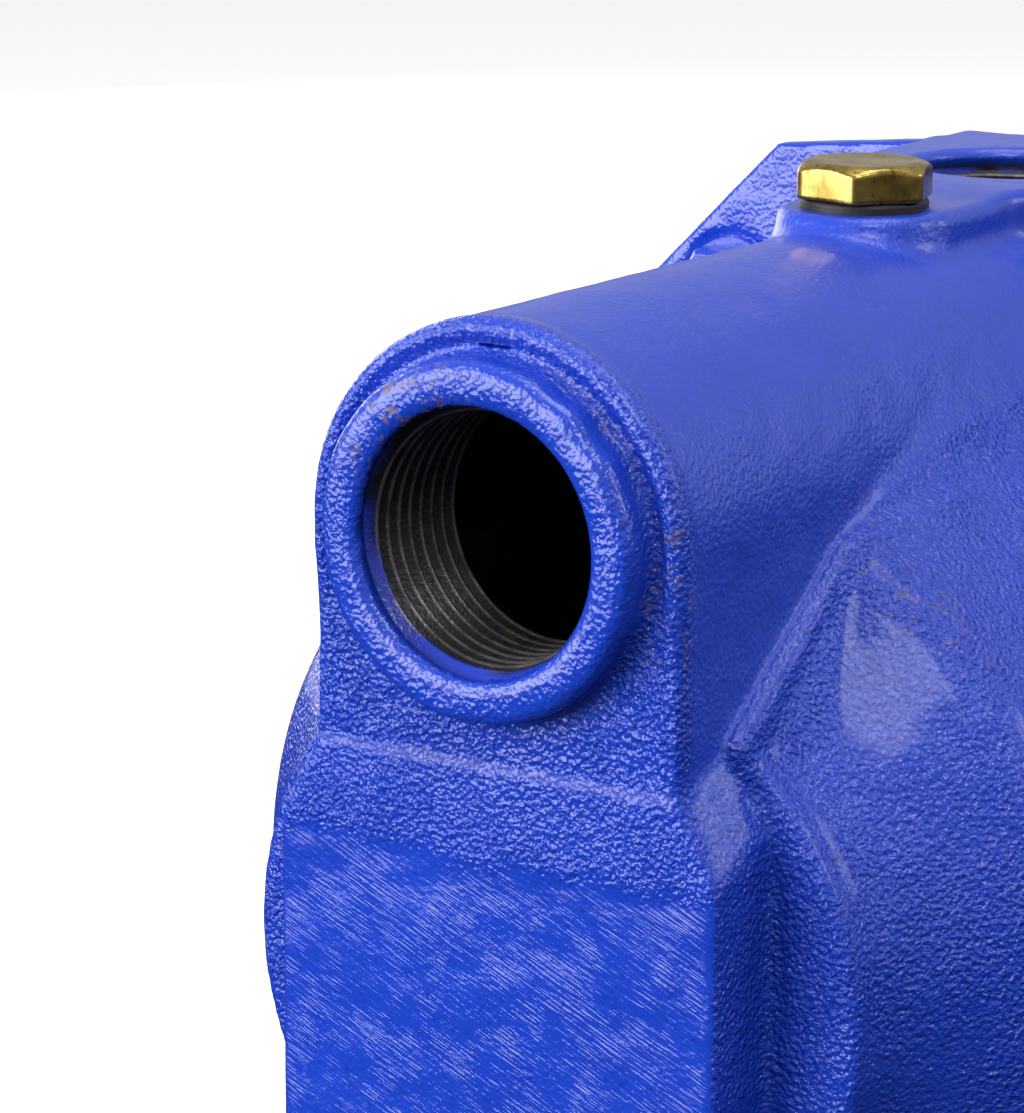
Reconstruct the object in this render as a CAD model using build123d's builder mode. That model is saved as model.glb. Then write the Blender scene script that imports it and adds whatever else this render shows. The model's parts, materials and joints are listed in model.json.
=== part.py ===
"""Shallow-well self-priming jet pump with its close-coupled electric motor.

Frame: millimetres, +Z up, +Y from the suction port towards the motor's fan.
The origin is on the floor, at the centre of the foot's four bolt holes.
"""
from build123d import *
from math import cos, pi, radians, sin, sqrt
import os

os.makedirs("parts", exist_ok=True)

# ---- driving dimensions -------------------------------------------------------------
FACE_Y = -230.0            # plane of the suction port's ring
SHAFT_Z = 92.0             # shaft height above the floor
PORT_Z = SHAFT_Z + 58.0    # suction port's axis

# G1 pipe thread (ports) and G1/4 pipe thread (plugs), major radii
PORT_R = 16.65
PLUG_R = 6.6
THREAD_DEPTH = 20.0
PORT_RING_R = 21.7

# pump body, as depths behind the suction ring's face
COLUMN_DEPTH = 5.2
DISC_DEPTH = 17.0
SHOULDER_DEPTH = 40.0
PLUG_DEPTH = 95.0
DISCHARGE_DEPTH = 142.3
FLANGE_DEPTH = 160.0
BODY_DEPTH = 173.0

TUBE_R = 26.1
TUBE_HALF = 25.8
COLUMN_HALF = 30.0
COLUMN_FOOT = -49.0        # column's lower end, from the shaft axis
DISC_R = 43.3
SHOULDER_R = 59.5
DRUM_MID_R = 67.5
DRUM_END_R = 71.5
WALL = 6.0
PAD_TOP = 29.0             # discharge pad above the port axis
PLUG_SEAT = 28.2           # plug boss above the port axis
PAD_HALF = 25.0
NECK_HALF = 12.0

FLANGE_MID = 86.6          # half height of the flange, at the middle of each side
FLANGE_HALF = 84.3         # the same at the start of the corner chamfers
FLANGE_CORNER = 50.2       # where the corner chamfers start
FLANGE_RIM = 3.0           # full-size rim, before the flange draws in behind it
FLANGE_DRAW = 4.5
FLANGE_BOLT_X = 57.5
FLANGE_BOLT_Z = 61.0
SPOT_FACE_R = 9.0
SPIGOT_R = 70.0

# bracket and foot
BRACKET_Y = FACE_Y + BODY_DEPTH
BRACKET_PLATE = 10.0
BRACKET_INSET = 5.5
MOTOR_Y = 1.0              # front end of the motor's frame
FOOT_HALF_X = 85.0
FOOT_HALF_Y = 51.0
FOOT_THICK = 9.0
FOOT_BOLT_X = 70.0
FOOT_BOLT_Y = 35.0
FOOT_HOLE_R = 4.75

# motor
HOUSING_R = 58.0
HOUSING_WALL = 3.5
FIN_R = 70.0
HOUSING_END_Y = 150.0
STACK_Y0 = 35.0
STACK_Y1 = 105.0
GAP_R = 33.3
ROTOR_R = 33.0
TIE_R = 65.8
COVER_R = 72.0
COVER_END_Y = 200.0

# ball bearing, 15 x 35 x 11
BEARING_BORE = 7.5
BEARING_OUTER = 17.5
BEARING_WIDTH = 11.0
BALL_R = 3.0
BALL_COUNT = 8
FRONT_BEARING_Y = -16.0
REAR_BEARING_Y = 142.0

RUN_FIT = 0.05             # radial clearance of running and sliding fits
SEAT_FIT = 0.02            # radial clearance of fixed seats

SHAFT_AXIS = Axis((0, 0, SHAFT_Z), (0, 1, 0))


# ---- helpers ------------------------------------------------------------------------
def depth(distance):
    """Y of a station that lies this far behind the suction face."""
    return FACE_Y + distance


def section(y, z=SHAFT_Z, x=0.0):
    """Plane across the pump: its x is +X, its y is +Z, and extruding by -L runs to +Y."""
    return Plane(origin=(x, y, z), x_dir=(1, 0, 0), z_dir=(0, -1, 0))


def side(x=0.0, z=SHAFT_Z):
    """Plane along the pump: its x is +Y and its y is +Z."""
    return Plane(origin=(x, 0, z), x_dir=(0, 1, 0), z_dir=(1, 0, 0))


def outline(plane, points):
    """Closed polygon face on a plane."""
    with BuildSketch(plane) as shape:
        with BuildLine():
            Polyline(*points, close=True)
        make_face()
    return shape.sketch


def turned(points):
    """(y, radius) outline about the shaft, ready to revolve."""
    return outline(side(), points)


def ring(y0, y1, inner, outer):
    """Rectangular (y, radius) outline of a plain ring about the shaft."""
    return turned([(y0, inner), (y1, inner), (y1, outer), (y0, outer)])


def disc_face(plane, radius, centres=((0, 0),)):
    """Circles on a plane."""
    with BuildSketch(plane) as shape:
        with Locations(*centres):
            Circle(radius)
    return shape.sketch


def annulus(plane, outer, inner, centres=((0, 0),)):
    """Rings on a plane."""
    with BuildSketch(plane) as shape:
        with Locations(*centres):
            Circle(outer)
            Circle(inner, mode=Mode.SUBTRACT)
    return shape.sketch


def block(plane, width, height, x=0.0, y=0.0, corner=0.0):
    """Rectangle centred at (x, y) on a plane, with rounded corners if asked."""
    with BuildSketch(plane) as shape:
        with Locations((x, y)):
            if corner:
                RectangleRounded(width, height, corner)
            else:
                Rectangle(width, height)
    return shape.sketch


def hexagon(plane, across_flats, centres=((0, 0),), turn=0.0):
    """Hexagons on a plane, with a corner on its x axis unless turned."""
    with BuildSketch(plane) as shape:
        with Locations(*centres):
            RegularPolygon(across_flats / sqrt(3), 6, rotation=turn)
    return shape.sketch


def torus_face(y, major, minor):
    """Section of a round seal ring about the shaft."""
    with BuildSketch(side()) as shape:
        with Locations((y, major)):
            Circle(minor)
    return shape.sketch


def four(half_x, half_y=None):
    """The four corners of a rectangle about the origin."""
    half_y = half_x if half_y is None else half_y
    return [(sx * half_x, sy * half_y) for sx in (-1, 1) for sy in (-1, 1)]


def flange_points(inset=0.0):
    """Chamfered square with slightly crowned sides, drawn in by an inset."""
    middle = FLANGE_MID - inset
    half = FLANGE_HALF - inset
    corner = FLANGE_CORNER - inset * (sqrt(2) - 1)
    points = []
    for turn in range(4):
        a = radians(90 * turn)
        for u, v in ((middle, -PAD_HALF), (middle, PAD_HALF), (half, corner), (corner, half)):
            points.append((u * cos(a) - v * sin(a), u * sin(a) + v * cos(a)))
    return points


FLANGE_BOLTS = four(FLANGE_BOLT_X, FLANGE_BOLT_Z)


def save(name, part):
    """Label a finished piece and write it."""
    part.label = name
    export_step(part, f"parts/{name}.step")


# ---- pump body ----------------------------------------------------------------------
# port-height values below are measured from the shaft axis
PORT_UP = PORT_Z - SHAFT_Z

with BuildPart() as pump_body:
    # suction tube: round above, flat-sided below, running back over the drum
    with BuildSketch(section(depth(COLUMN_DEPTH))):
        with Locations((0, PORT_UP)):
            Circle(TUBE_R)
        with Locations((0, PORT_UP - 30)):
            Rectangle(2 * TUBE_HALF, 60)
    extrude(amount=-(FLANGE_DEPTH - COLUMN_DEPTH))
    # front column, its shoulders sloping out from the tube's flat sides
    inner_rim = [(COLUMN_DEPTH, 28.5), (17.4, 33.6), (43.3, 53.2), (60, 53.2),
                 (60, COLUMN_FOOT), (12, COLUMN_FOOT), (COLUMN_DEPTH, COLUMN_FOOT + 7)]
    outer_rim = [(COLUMN_DEPTH, 18.8), (16.5, 22.6), (38.5, 53.1), (60, 53.1),
                 (60, COLUMN_FOOT + 4), (14, COLUMN_FOOT + 4), (COLUMN_DEPTH, COLUMN_FOOT + 12)]
    for x, rim in ((-COLUMN_HALF, outer_rim), (-TUBE_HALF, inner_rim),
                   (TUBE_HALF, inner_rim), (COLUMN_HALF, outer_rim)):
        with BuildSketch(side(x)):
            with BuildLine():
                Polyline(*[(depth(d), h) for d, h in rim], close=True)
            make_face()
    loft(ruled=True)
    # drum: flat front disc, dome, shoulder and tapered barrel
    with BuildSketch(side()):
        with BuildLine():
            Polyline((depth(FLANGE_DEPTH), 0), (depth(DISC_DEPTH), 0),
                     (depth(DISC_DEPTH), DISC_R - 1), (depth(DISC_DEPTH + 1), DISC_R),
                     (depth(DISC_DEPTH + 3), DISC_R))
            ThreePointArc((depth(DISC_DEPTH + 3), DISC_R), (depth(29.3), 52.4),
                          (depth(SHOULDER_DEPTH), SHOULDER_R))
            Polyline((depth(SHOULDER_DEPTH), SHOULDER_R), (depth(44), 61.6),
                     (depth(92), DRUM_MID_R), (depth(150), DRUM_END_R),
                     (depth(FLANGE_DEPTH), DRUM_END_R + 2), (depth(FLANGE_DEPTH), 0))
        make_face()
    revolve(axis=SHAFT_AXIS)
    # rear flange
    extrude(outline(section(depth(FLANGE_DEPTH)), flange_points()), amount=-FLANGE_RIM)
    loft([outline(section(depth(FLANGE_DEPTH + FLANGE_RIM)), flange_points()),
          outline(section(depth(BODY_DEPTH)), flange_points(FLANGE_DRAW))], ruled=True)
    # suction ring
    extrude(disc_face(section(FACE_Y, PORT_Z), PORT_RING_R), amount=-(COLUMN_DEPTH + 2))
    # discharge boss: half round in front, square to the flange behind
    with BuildSketch(Plane.XY.offset(PORT_Z)):
        with Locations((0, depth(DISCHARGE_DEPTH))):
            Circle(PAD_HALF)
        with Locations((0, depth(0.5 * (DISCHARGE_DEPTH + BODY_DEPTH)))):
            Rectangle(2 * PAD_HALF, BODY_DEPTH - DISCHARGE_DEPTH)
    extrude(amount=PAD_TOP)
    # plug boss and the neck that joins it to the discharge boss
    neck_length = DISCHARGE_DEPTH - 22 - PLUG_DEPTH
    neck = block(Plane.XY.offset(PORT_Z), 2 * NECK_HALF, neck_length, 0, depth(PLUG_DEPTH + neck_length / 2))
    extrude(neck, amount=PLUG_SEAT)
    with BuildSketch(Plane.XY.offset(PORT_Z + 15)):
        with Locations((0, depth(PLUG_DEPTH))):
            Circle(16)
    with BuildSketch(Plane.XY.offset(PORT_Z + PLUG_SEAT)):
        with Locations((0, depth(PLUG_DEPTH))):
            Circle(NECK_HALF - 0.8)
    loft()
    # drain boss at the column's foot
    extrude(disc_face(section(depth(3), SHAFT_Z - 33), 10.5), amount=-6)
    # main water space of the drum, open to the back
    revolve(turned([(depth(25), 0), (depth(25), 36), (depth(46), 53.5), (depth(92), 61),
                    (depth(150), 66), (depth(FLANGE_DEPTH + 2), 66), (depth(FLANGE_DEPTH + 2), SPIGOT_R),
                    (depth(BODY_DEPTH), SPIGOT_R), (depth(BODY_DEPTH), 0)]),
            axis=SHAFT_AXIS, mode=Mode.SUBTRACT)
    # suction chamber in the tube's front half, priming chamber in its back half
    extrude(disc_face(section(depth(THREAD_DEPTH), PORT_Z), 20.3), amount=-42, mode=Mode.SUBTRACT)
    extrude(disc_face(section(depth(70), PORT_Z), 20.0), amount=-86, mode=Mode.SUBTRACT)
    extrude(block(section(depth(72), PORT_Z), 30, 40, 0, -20), amount=-78, mode=Mode.SUBTRACT)
    # ejector housing, with the suction passage down to it
    extrude(block(section(depth(22)), 50, 64, 0, 6), amount=-36)
    extrude(block(section(depth(30)), 34, 50, 0, 25), amount=-22, mode=Mode.SUBTRACT)
    extrude(disc_face(section(depth(30)), 17), amount=-22, mode=Mode.SUBTRACT)
    # pressure space ahead of the nozzle, and its channel from the drum
    extrude(block(section(depth(COLUMN_DEPTH + WALL)), 34, 57, 0, -11.5), amount=-(22 - COLUMN_DEPTH - WALL),
            mode=Mode.SUBTRACT)
    extrude(block(section(depth(20)), 24, 12, 0, -34), amount=-20, mode=Mode.SUBTRACT)
    # seats of the nozzle and the venturi tube
    extrude(disc_face(section(depth(21)), 11), amount=-10, mode=Mode.SUBTRACT)
    extrude(disc_face(section(depth(51)), 12), amount=-8, mode=Mode.SUBTRACT)
    # threaded ports and plug holes, with countersunk mouths
    extrude(disc_face(section(FACE_Y, PORT_Z), PORT_R), amount=-THREAD_DEPTH, mode=Mode.SUBTRACT)
    extrude(disc_face(Plane.XY.offset(PORT_Z + PAD_TOP - THREAD_DEPTH), PORT_R,
                      [(0, depth(DISCHARGE_DEPTH))]), amount=THREAD_DEPTH, mode=Mode.SUBTRACT)
    extrude(disc_face(Plane.XY.offset(PORT_Z + 10), PLUG_R, [(0, depth(PLUG_DEPTH))]),
            amount=20, mode=Mode.SUBTRACT)
    extrude(disc_face(section(depth(3), SHAFT_Z - 33), PLUG_R), amount=-10, mode=Mode.SUBTRACT)
    # flange bolts: clearance holes, with spot faces cut into the drum's root
    extrude(disc_face(section(depth(FLANGE_DEPTH)), 4.4, FLANGE_BOLTS),
            amount=-(BODY_DEPTH - FLANGE_DEPTH), mode=Mode.SUBTRACT)
    extrude(disc_face(section(depth(FLANGE_DEPTH - 12)), SPOT_FACE_R, FLANGE_BOLTS), amount=-13,
            mode=Mode.SUBTRACT)
    mouths = pump_body.edges().filter_by(GeomType.CIRCLE).filter_by(
        lambda edge: abs(edge.radius - PORT_R) < 0.01
        and (abs(edge.center().Y - FACE_Y) < 0.01 or abs(edge.center().Z - PORT_Z - PAD_TOP) < 0.01))
    chamfer(mouths, 0.85)
save("pump_body", pump_body.part)


# ---- brass plugs and their seals ----------------------------------------------------
PLUG_FLATS = 17.0
PLUG_HEAD = 5.0
PLUG_CORNER_R = 9.6        # corners turned down to this
SEAL_THICK = 1.4


def hex_plug(plane, shank, turn):
    """Hexagon-headed plug over its seal, above a plane: turned head, then the shank below it."""
    extrude(hexagon(plane.offset(SEAL_THICK), PLUG_FLATS, turn=turn), amount=PLUG_HEAD)
    extrude(disc_face(plane.offset(SEAL_THICK), PLUG_CORNER_R), amount=PLUG_HEAD, mode=Mode.INTERSECT)
    extrude(disc_face(plane.offset(-shank), PLUG_R - 0.1), amount=shank + SEAL_THICK)
    chamfer(faces().sort_by(Axis(plane.origin, plane.z_dir))[-1].edges(), 0.7)


filler_plane = Plane.XY.offset(PORT_Z + PLUG_SEAT).shift_origin((0, depth(PLUG_DEPTH), PORT_Z + PLUG_SEAT))
drain_plane = Plane(origin=(0, depth(3), SHAFT_Z - 33), x_dir=(1, 0, 0), z_dir=(0, -1, 0))

with BuildPart() as filler_plug:
    hex_plug(filler_plane, 8.0, -11.0)
save("filler_plug", filler_plug.part)

with BuildPart() as drain_plug:
    hex_plug(drain_plane, 7.0, 0.0)
save("drain_plug", drain_plug.part)

for name, plane in (("filler_seal", filler_plane), ("drain_seal", drain_plane)):
    with BuildPart() as plug_seal:
        extrude(annulus(plane, 8.6, PLUG_R), amount=SEAL_THICK)
        fillet(plug_seal.faces().sort_by(Axis(plane.origin, plane.z_dir))[-1].outer_wire().edges(), 0.6)
    save(name, plug_seal.part)


# ---- ejector ------------------------------------------------------------------------
with BuildPart() as nozzle:
    revolve(turned([(depth(19), 8.0), (depth(19), 13.5), (depth(22), 13.5), (depth(22), 11 - SEAT_FIT),
                    (depth(30), 11 - SEAT_FIT), (depth(33), 9.0), (depth(45), 6.2), (depth(45), 4.2),
                    (depth(43), 4.2)]), axis=SHAFT_AXIS)
save("nozzle", nozzle.part)

with BuildPart() as venturi_tube:
    revolve(turned([(depth(50), 10.5), (depth(50), 14.0), (depth(52), 14.0), (depth(52), 12 - SEAT_FIT),
                    (depth(60), 12 - SEAT_FIT), (depth(63), 10.5), (depth(118), 13.5), (depth(128), 13.5),
                    (depth(128), 11.5), (depth(118), 11.0), (depth(78), 6.6), (depth(64), 6.6)]),
            axis=SHAFT_AXIS)
save("venturi_tube", venturi_tube.part)


# ---- diffuser and impeller ----------------------------------------------------------
DIFFUSER_R = 62.0
IMPELLER_R = 50.0
IMPELLER_Y = depth(139)

with BuildPart() as diffuser:
    # eye sleeve over the venturi tube, wear ring, front plate and outer ring
    revolve(turned([(depth(118), 13.6), (depth(118), 18), (depth(126), 20), (depth(130), DIFFUSER_R),
                    (depth(163), DIFFUSER_R), (depth(163), DIFFUSER_R - 3), (depth(133.5), DIFFUSER_R - 3),
                    (depth(133.5), 21.5), (depth(136.5), 21.5), (depth(136.5), 17.3), (depth(128.5), 17.3),
                    (depth(128.5), 13.6), (depth(124.6), 13.6), (depth(124.6), 15.2), (depth(122.4), 15.2),
                    (depth(122.4), 13.6)]), axis=SHAFT_AXIS)
    # guide vanes between the impeller's rim and the outer ring
    with BuildSketch(section(depth(133))):
        with PolarLocations(0, 7):
            with BuildLine():
                ThreePointArc((52.5, 0), (56.5, 7.5), (59.5, 15))
                Line((59.5, 15), (58, 17))
                ThreePointArc((58, 17), (54, 8.5), (51.3, 0.6))
                Line((51.3, 0.6), (52.5, 0))
            make_face()
    extrude(amount=-18)
save("diffuser", diffuser.part)

with BuildPart() as diffuser_seal:
    revolve(torus_face(depth(123.5), 14.36, 0.8), axis=SHAFT_AXIS)
save("diffuser_seal", diffuser_seal.part)

with BuildPart() as impeller:
    # back shroud with its hub
    revolve(turned([(depth(134.5), 6.05), (depth(134.5), 10), (depth(146), 14), (depth(147), IMPELLER_R),
                    (depth(149.5), IMPELLER_R), (depth(149.5), 15), (depth(151), 11), (depth(151), 6.05)]),
            axis=SHAFT_AXIS)
    # front shroud with its eye
    revolve(turned([(depth(134.8), 14.4), (depth(134.8), 17.0), (depth(137.4), 17.0), (depth(141), IMPELLER_R),
                    (depth(143), IMPELLER_R), (depth(140), 21), (depth(138.2), 14.4)]),
            axis=SHAFT_AXIS)
    # backward-curved vanes that join the shrouds
    with BuildSketch(section(depth(140.6))):
        with PolarLocations(0, 6):
            with BuildLine():
                ThreePointArc((18, 0), (32, 13), (41.5, 27.5))
                Line((41.5, 27.5), (40, 29.5))
                ThreePointArc((40, 29.5), (30, 15), (17, 2.2))
                Line((17, 2.2), (18, 0))
            make_face()
    extrude(amount=-7.5)
    # keyway in the hub
    extrude(block(section(depth(134)), 3.1, 4, 0, 6.2), amount=-18, mode=Mode.SUBTRACT)
save("impeller", impeller.part)

with BuildPart() as impeller_key:
    extrude(block(section(depth(137)), 3.0, 3.3, 0, 6.2), amount=-12)
save("impeller_key", impeller_key.part)

with BuildPart() as impeller_nut:
    extrude(hexagon(section(depth(128.3)), 16.0), amount=-6.0)
    extrude(disc_face(section(depth(128.3)), 5.02), amount=-7, mode=Mode.SUBTRACT)
    chamfer(faces().sort_by(Axis.Y)[0].edges().filter_by(GeomType.LINE), 0.6)
save("impeller_nut", impeller_nut.part)


# ---- mechanical seal ----------------------------------------------------------------
SEAL_SHAFT_R = 7.5

with BuildPart() as seal_spring:
    with BuildLine() as coil:
        Helix(pitch=2.6, height=7.8, radius=11.3, center=(0, depth(153.2), SHAFT_Z), direction=(0, 1, 0))
    with BuildSketch(Plane(origin=coil.line @ 0, z_dir=coil.line % 0)):
        Circle(0.7)
    sweep(path=coil.line, is_frenet=True)
save("seal_spring", seal_spring.part)

with BuildPart() as seal_bellows:
    revolve(turned([(depth(151.2), SEAL_SHAFT_R + RUN_FIT), (depth(151.2), 12.4), (depth(152), 12.4),
                    (depth(152), 10.1), (depth(162.2), 10.1), (depth(162.2), 12.6), (depth(163.4), 12.6),
                    (depth(163.4), SEAL_SHAFT_R + RUN_FIT)]), axis=SHAFT_AXIS)
save("seal_bellows", seal_bellows.part)

with BuildPart() as seal_carbon:
    revolve(turned([(depth(163.4), 8.6), (depth(163.4), 12.8), (depth(167.5), 12.8), (depth(167.5), 11.8),
                    (depth(169.2), 11.4), (depth(169.2), 8.9)]), axis=SHAFT_AXIS)
save("seal_carbon", seal_carbon.part)

with BuildPart() as seal_seat:
    revolve(ring(depth(169.25), depth(175.2), 8.7, 14.0), axis=SHAFT_AXIS)
save("seal_seat", seal_seat.part)

with BuildPart() as seat_ring:
    revolve(turned([(depth(170.4), 14.0), (depth(170.4), 16.5 - SEAT_FIT), (depth(176.0), 16.5 - SEAT_FIT),
                    (depth(176.0), 9.5), (depth(175.2), 9.5), (depth(175.2), 14.0)]), axis=SHAFT_AXIS)
save("seat_ring", seat_ring.part)


# ---- motor bracket with foot --------------------------------------------------------
LANTERN_Y = BRACKET_Y + BRACKET_PLATE
BEARING_WALL_Y = -18.0

with BuildPart() as motor_bracket:
    extrude(outline(section(BRACKET_Y), flange_points(BRACKET_INSET)), amount=-BRACKET_PLATE)
    # spigot into the pump body, with the seal groove
    revolve(turned([(depth(163), 60), (depth(163), SPIGOT_R - 0.15), (depth(166), SPIGOT_R - 0.15),
                    (depth(166), 66.8), (depth(169.6), 66.8), (depth(169.6), SPIGOT_R - 0.15),
                    (BRACKET_Y, SPIGOT_R - 0.15), (BRACKET_Y, 60)]), axis=SHAFT_AXIS)
    # recess behind the impeller and the boss of the shaft seal
    revolve(ring(depth(163), depth(177), 0, 60), axis=SHAFT_AXIS, mode=Mode.SUBTRACT)
    revolve(ring(depth(170), depth(186), 8.6, 23), axis=SHAFT_AXIS)
    revolve(ring(depth(169), depth(176), 0, 16.5), axis=SHAFT_AXIS, mode=Mode.SUBTRACT)
    revolve(ring(depth(169), depth(187), 0, 9.5), axis=SHAFT_AXIS, mode=Mode.SUBTRACT)
    # lantern: a drum with a window at each side, and the bearing wall
    revolve(turned([(LANTERN_Y - 1, 60), (LANTERN_Y - 1, 66), (BEARING_WALL_Y, 63), (BEARING_WALL_Y, 57)]),
            axis=SHAFT_AXIS)
    revolve(turned([(BEARING_WALL_Y, BEARING_OUTER + SEAT_FIT), (BEARING_WALL_Y, 63), (MOTOR_Y, 70),
                    (MOTOR_Y, HOUSING_R - 0.1), (MOTOR_Y + 7, HOUSING_R - 0.1), (MOTOR_Y + 7, 53),
                    (-9, 53), (-9, 24), (-4, 24), (-4, BEARING_OUTER + SEAT_FIT)]), axis=SHAFT_AXIS)
    revolve(ring(BEARING_WALL_Y - 3, BEARING_WALL_Y, 10, 24), axis=SHAFT_AXIS)
    extrude(block(section(LANTERN_Y), 160, 62), amount=-(BEARING_WALL_Y - LANTERN_Y - 3), mode=Mode.SUBTRACT)
    # pedestal and foot
    with BuildSketch(Plane.XY):
        with Locations((0, -35)):
            Rectangle(96, 36)
    with BuildSketch(Plane.XY.offset(SHAFT_Z - 52)):
        with Locations((0, -35)):
            Rectangle(70, 32)
    loft(ruled=True)
    extrude(block(Plane.XY, 2 * FOOT_HALF_X, 2 * FOOT_HALF_Y, corner=12), amount=FOOT_THICK)
    extrude(block(Plane.XY, 60, 29, 0, -36), amount=SHAFT_Z - 57, mode=Mode.SUBTRACT)
    # foot bolts, flange bolts and tie bolts
    extrude(disc_face(Plane.XY, FOOT_HOLE_R, four(FOOT_BOLT_X, FOOT_BOLT_Y)), amount=FOOT_THICK,
            mode=Mode.SUBTRACT)
    extrude(disc_face(section(BRACKET_Y), 4.0, FLANGE_BOLTS), amount=-BRACKET_PLATE, mode=Mode.SUBTRACT)
    extrude(disc_face(section(MOTOR_Y - 14), 5.2, four(TIE_R / sqrt(2))), amount=-14)
    extrude(disc_face(section(MOTOR_Y - 11), 2.5, four(TIE_R / sqrt(2))), amount=-11, mode=Mode.SUBTRACT)
save("motor_bracket", motor_bracket.part)

with BuildPart() as body_seal:
    revolve(torus_face(depth(167.8), 68.4, 1.55), axis=SHAFT_AXIS)
save("body_seal", body_seal.part)

with BuildPart() as flange_washers:
    extrude(annulus(section(depth(FLANGE_DEPTH - 0.6)), 8.0, 4.2, FLANGE_BOLTS), amount=-1.6)
save("flange_washers", flange_washers.part)

with BuildPart() as flange_bolts:
    extrude(hexagon(section(depth(FLANGE_DEPTH - 5.9)), 13.0, FLANGE_BOLTS), amount=-5.3)
    chamfer(faces().sort_by(Axis.Y)[:4].edges(), 0.6)
    extrude(disc_face(section(depth(FLANGE_DEPTH - 1)), 4.0 - SEAT_FIT, FLANGE_BOLTS),
            amount=-(BODY_DEPTH + BRACKET_PLATE - FLANGE_DEPTH + 3))
save("flange_bolts", flange_bolts.part)


# ---- rotor --------------------------------------------------------------------------
with BuildPart() as shaft:
    seat_end = REAR_BEARING_Y + BEARING_WIDTH
    revolve(turned([(depth(127), 0), (depth(127), 4.5), (depth(127.5), 5.0), (depth(135), 5.0),
                    (depth(135), 6.0), (depth(151), 6.0), (depth(151), SEAL_SHAFT_R), (seat_end, SEAL_SHAFT_R),
                    (seat_end, 6.0), (188, 6.0), (188.8, 5.2), (188.8, 0)]), axis=SHAFT_AXIS)
    revolve(turned([(-4.5, 0), (-4.5, 9.5), (0, 9.5), (0, 10.5), (140, 10.5), (140, 9.5), (141.9, 9.5),
                    (141.9, 0)]), axis=SHAFT_AXIS)
    extrude(block(section(depth(137)), 3.0, 2.0, 0, 5.55), amount=-12, mode=Mode.SUBTRACT)
    revolve(ring(184.2, 185.4, 5.4, 6.2), axis=SHAFT_AXIS, mode=Mode.SUBTRACT)
save("shaft", shaft.part)

ROTOR_BARS = 18
BAR_ANGLES = [2 * pi * i / ROTOR_BARS for i in range(ROTOR_BARS)]
BAR_CENTRES = [(27 * cos(angle), 27 * sin(angle)) for angle in BAR_ANGLES]

with BuildPart() as rotor_core:
    revolve(ring(STACK_Y0, STACK_Y1, 10.5 + SEAT_FIT, ROTOR_R), axis=SHAFT_AXIS)
    extrude(disc_face(section(STACK_Y0), 2.6, BAR_CENTRES), amount=-(STACK_Y1 - STACK_Y0), mode=Mode.SUBTRACT)
save("rotor_core", rotor_core.part)

with BuildPart() as rotor_cage:
    revolve(ring(STACK_Y0 - 8, STACK_Y0, 22, 31.5), axis=SHAFT_AXIS)
    revolve(ring(STACK_Y1, STACK_Y1 + 8, 22, 31.5), axis=SHAFT_AXIS)
    extrude(disc_face(section(STACK_Y0 - 1), 2.58, BAR_CENTRES), amount=-(STACK_Y1 - STACK_Y0 + 2))
save("rotor_cage", rotor_cage.part)


# ---- bearings -----------------------------------------------------------------------
PITCH_R = 0.5 * (BEARING_BORE + BEARING_OUTER)
for end, y0 in (("front", FRONT_BEARING_Y), ("rear", REAR_BEARING_Y)):
    middle = y0 + BEARING_WIDTH / 2
    with BuildPart() as outer_race:
        revolve(ring(y0, y0 + BEARING_WIDTH, PITCH_R + 1.8, BEARING_OUTER), axis=SHAFT_AXIS)
        revolve(torus_face(middle, PITCH_R, BALL_R + RUN_FIT), axis=SHAFT_AXIS, mode=Mode.SUBTRACT)
    save(f"{end}_bearing_outer", outer_race.part)

    with BuildPart() as inner_race:
        revolve(ring(y0, y0 + BEARING_WIDTH, BEARING_BORE + SEAT_FIT, PITCH_R - 1.8), axis=SHAFT_AXIS)
        revolve(torus_face(middle, PITCH_R, BALL_R + RUN_FIT), axis=SHAFT_AXIS, mode=Mode.SUBTRACT)
    save(f"{end}_bearing_inner", inner_race.part)

    with BuildPart() as cage:
        revolve(ring(middle - 3.9, middle + 3.9, PITCH_R - 0.9, PITCH_R + 0.9), axis=SHAFT_AXIS)
        with BuildSketch(section(middle)):
            with PolarLocations(PITCH_R, BALL_COUNT):
                Circle(BALL_R + RUN_FIT)
        extrude(amount=BALL_R, both=True, mode=Mode.SUBTRACT)
        with Locations(section(middle)):
            with PolarLocations(PITCH_R, BALL_COUNT):
                Sphere(BALL_R)
    save(f"{end}_bearing_balls", cage.part)

with BuildPart() as wave_washer:
    spring_y = REAR_BEARING_Y + BEARING_WIDTH
    revolve(ring(spring_y + 0.2, spring_y + 0.8, 12.5, BEARING_OUTER - 0.3), axis=SHAFT_AXIS)
    # crests that bear on both sides
    with BuildSketch(section(spring_y)):
        with PolarLocations(15, 3):
            Circle(1.6)
    extrude(amount=-1.0)
save("wave_washer", wave_washer.part)

with BuildPart() as slinger:
    revolve(turned([(depth(189), SEAL_SHAFT_R + SEAT_FIT), (depth(189), 10), (depth(193), 10), (depth(193), 16),
                    (depth(195), 17), (depth(196), SEAL_SHAFT_R + SEAT_FIT)]), axis=SHAFT_AXIS)
save("slinger", slinger.part)


# ---- stator and windings ------------------------------------------------------------
SLOTS = 24

with BuildPart() as stator_core:
    revolve(ring(STACK_Y0, STACK_Y1, GAP_R, HOUSING_R - SEAT_FIT), axis=SHAFT_AXIS)
    with BuildSketch(section(STACK_Y0)):
        with PolarLocations(0, SLOTS):
            with Locations((41, 0)):
                Rectangle(10, 5.2)
            with Locations((35, 0)):
                Rectangle(6, 2.0)
    extrude(amount=-(STACK_Y1 - STACK_Y0), mode=Mode.SUBTRACT)
save("stator_core", stator_core.part)

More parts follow.
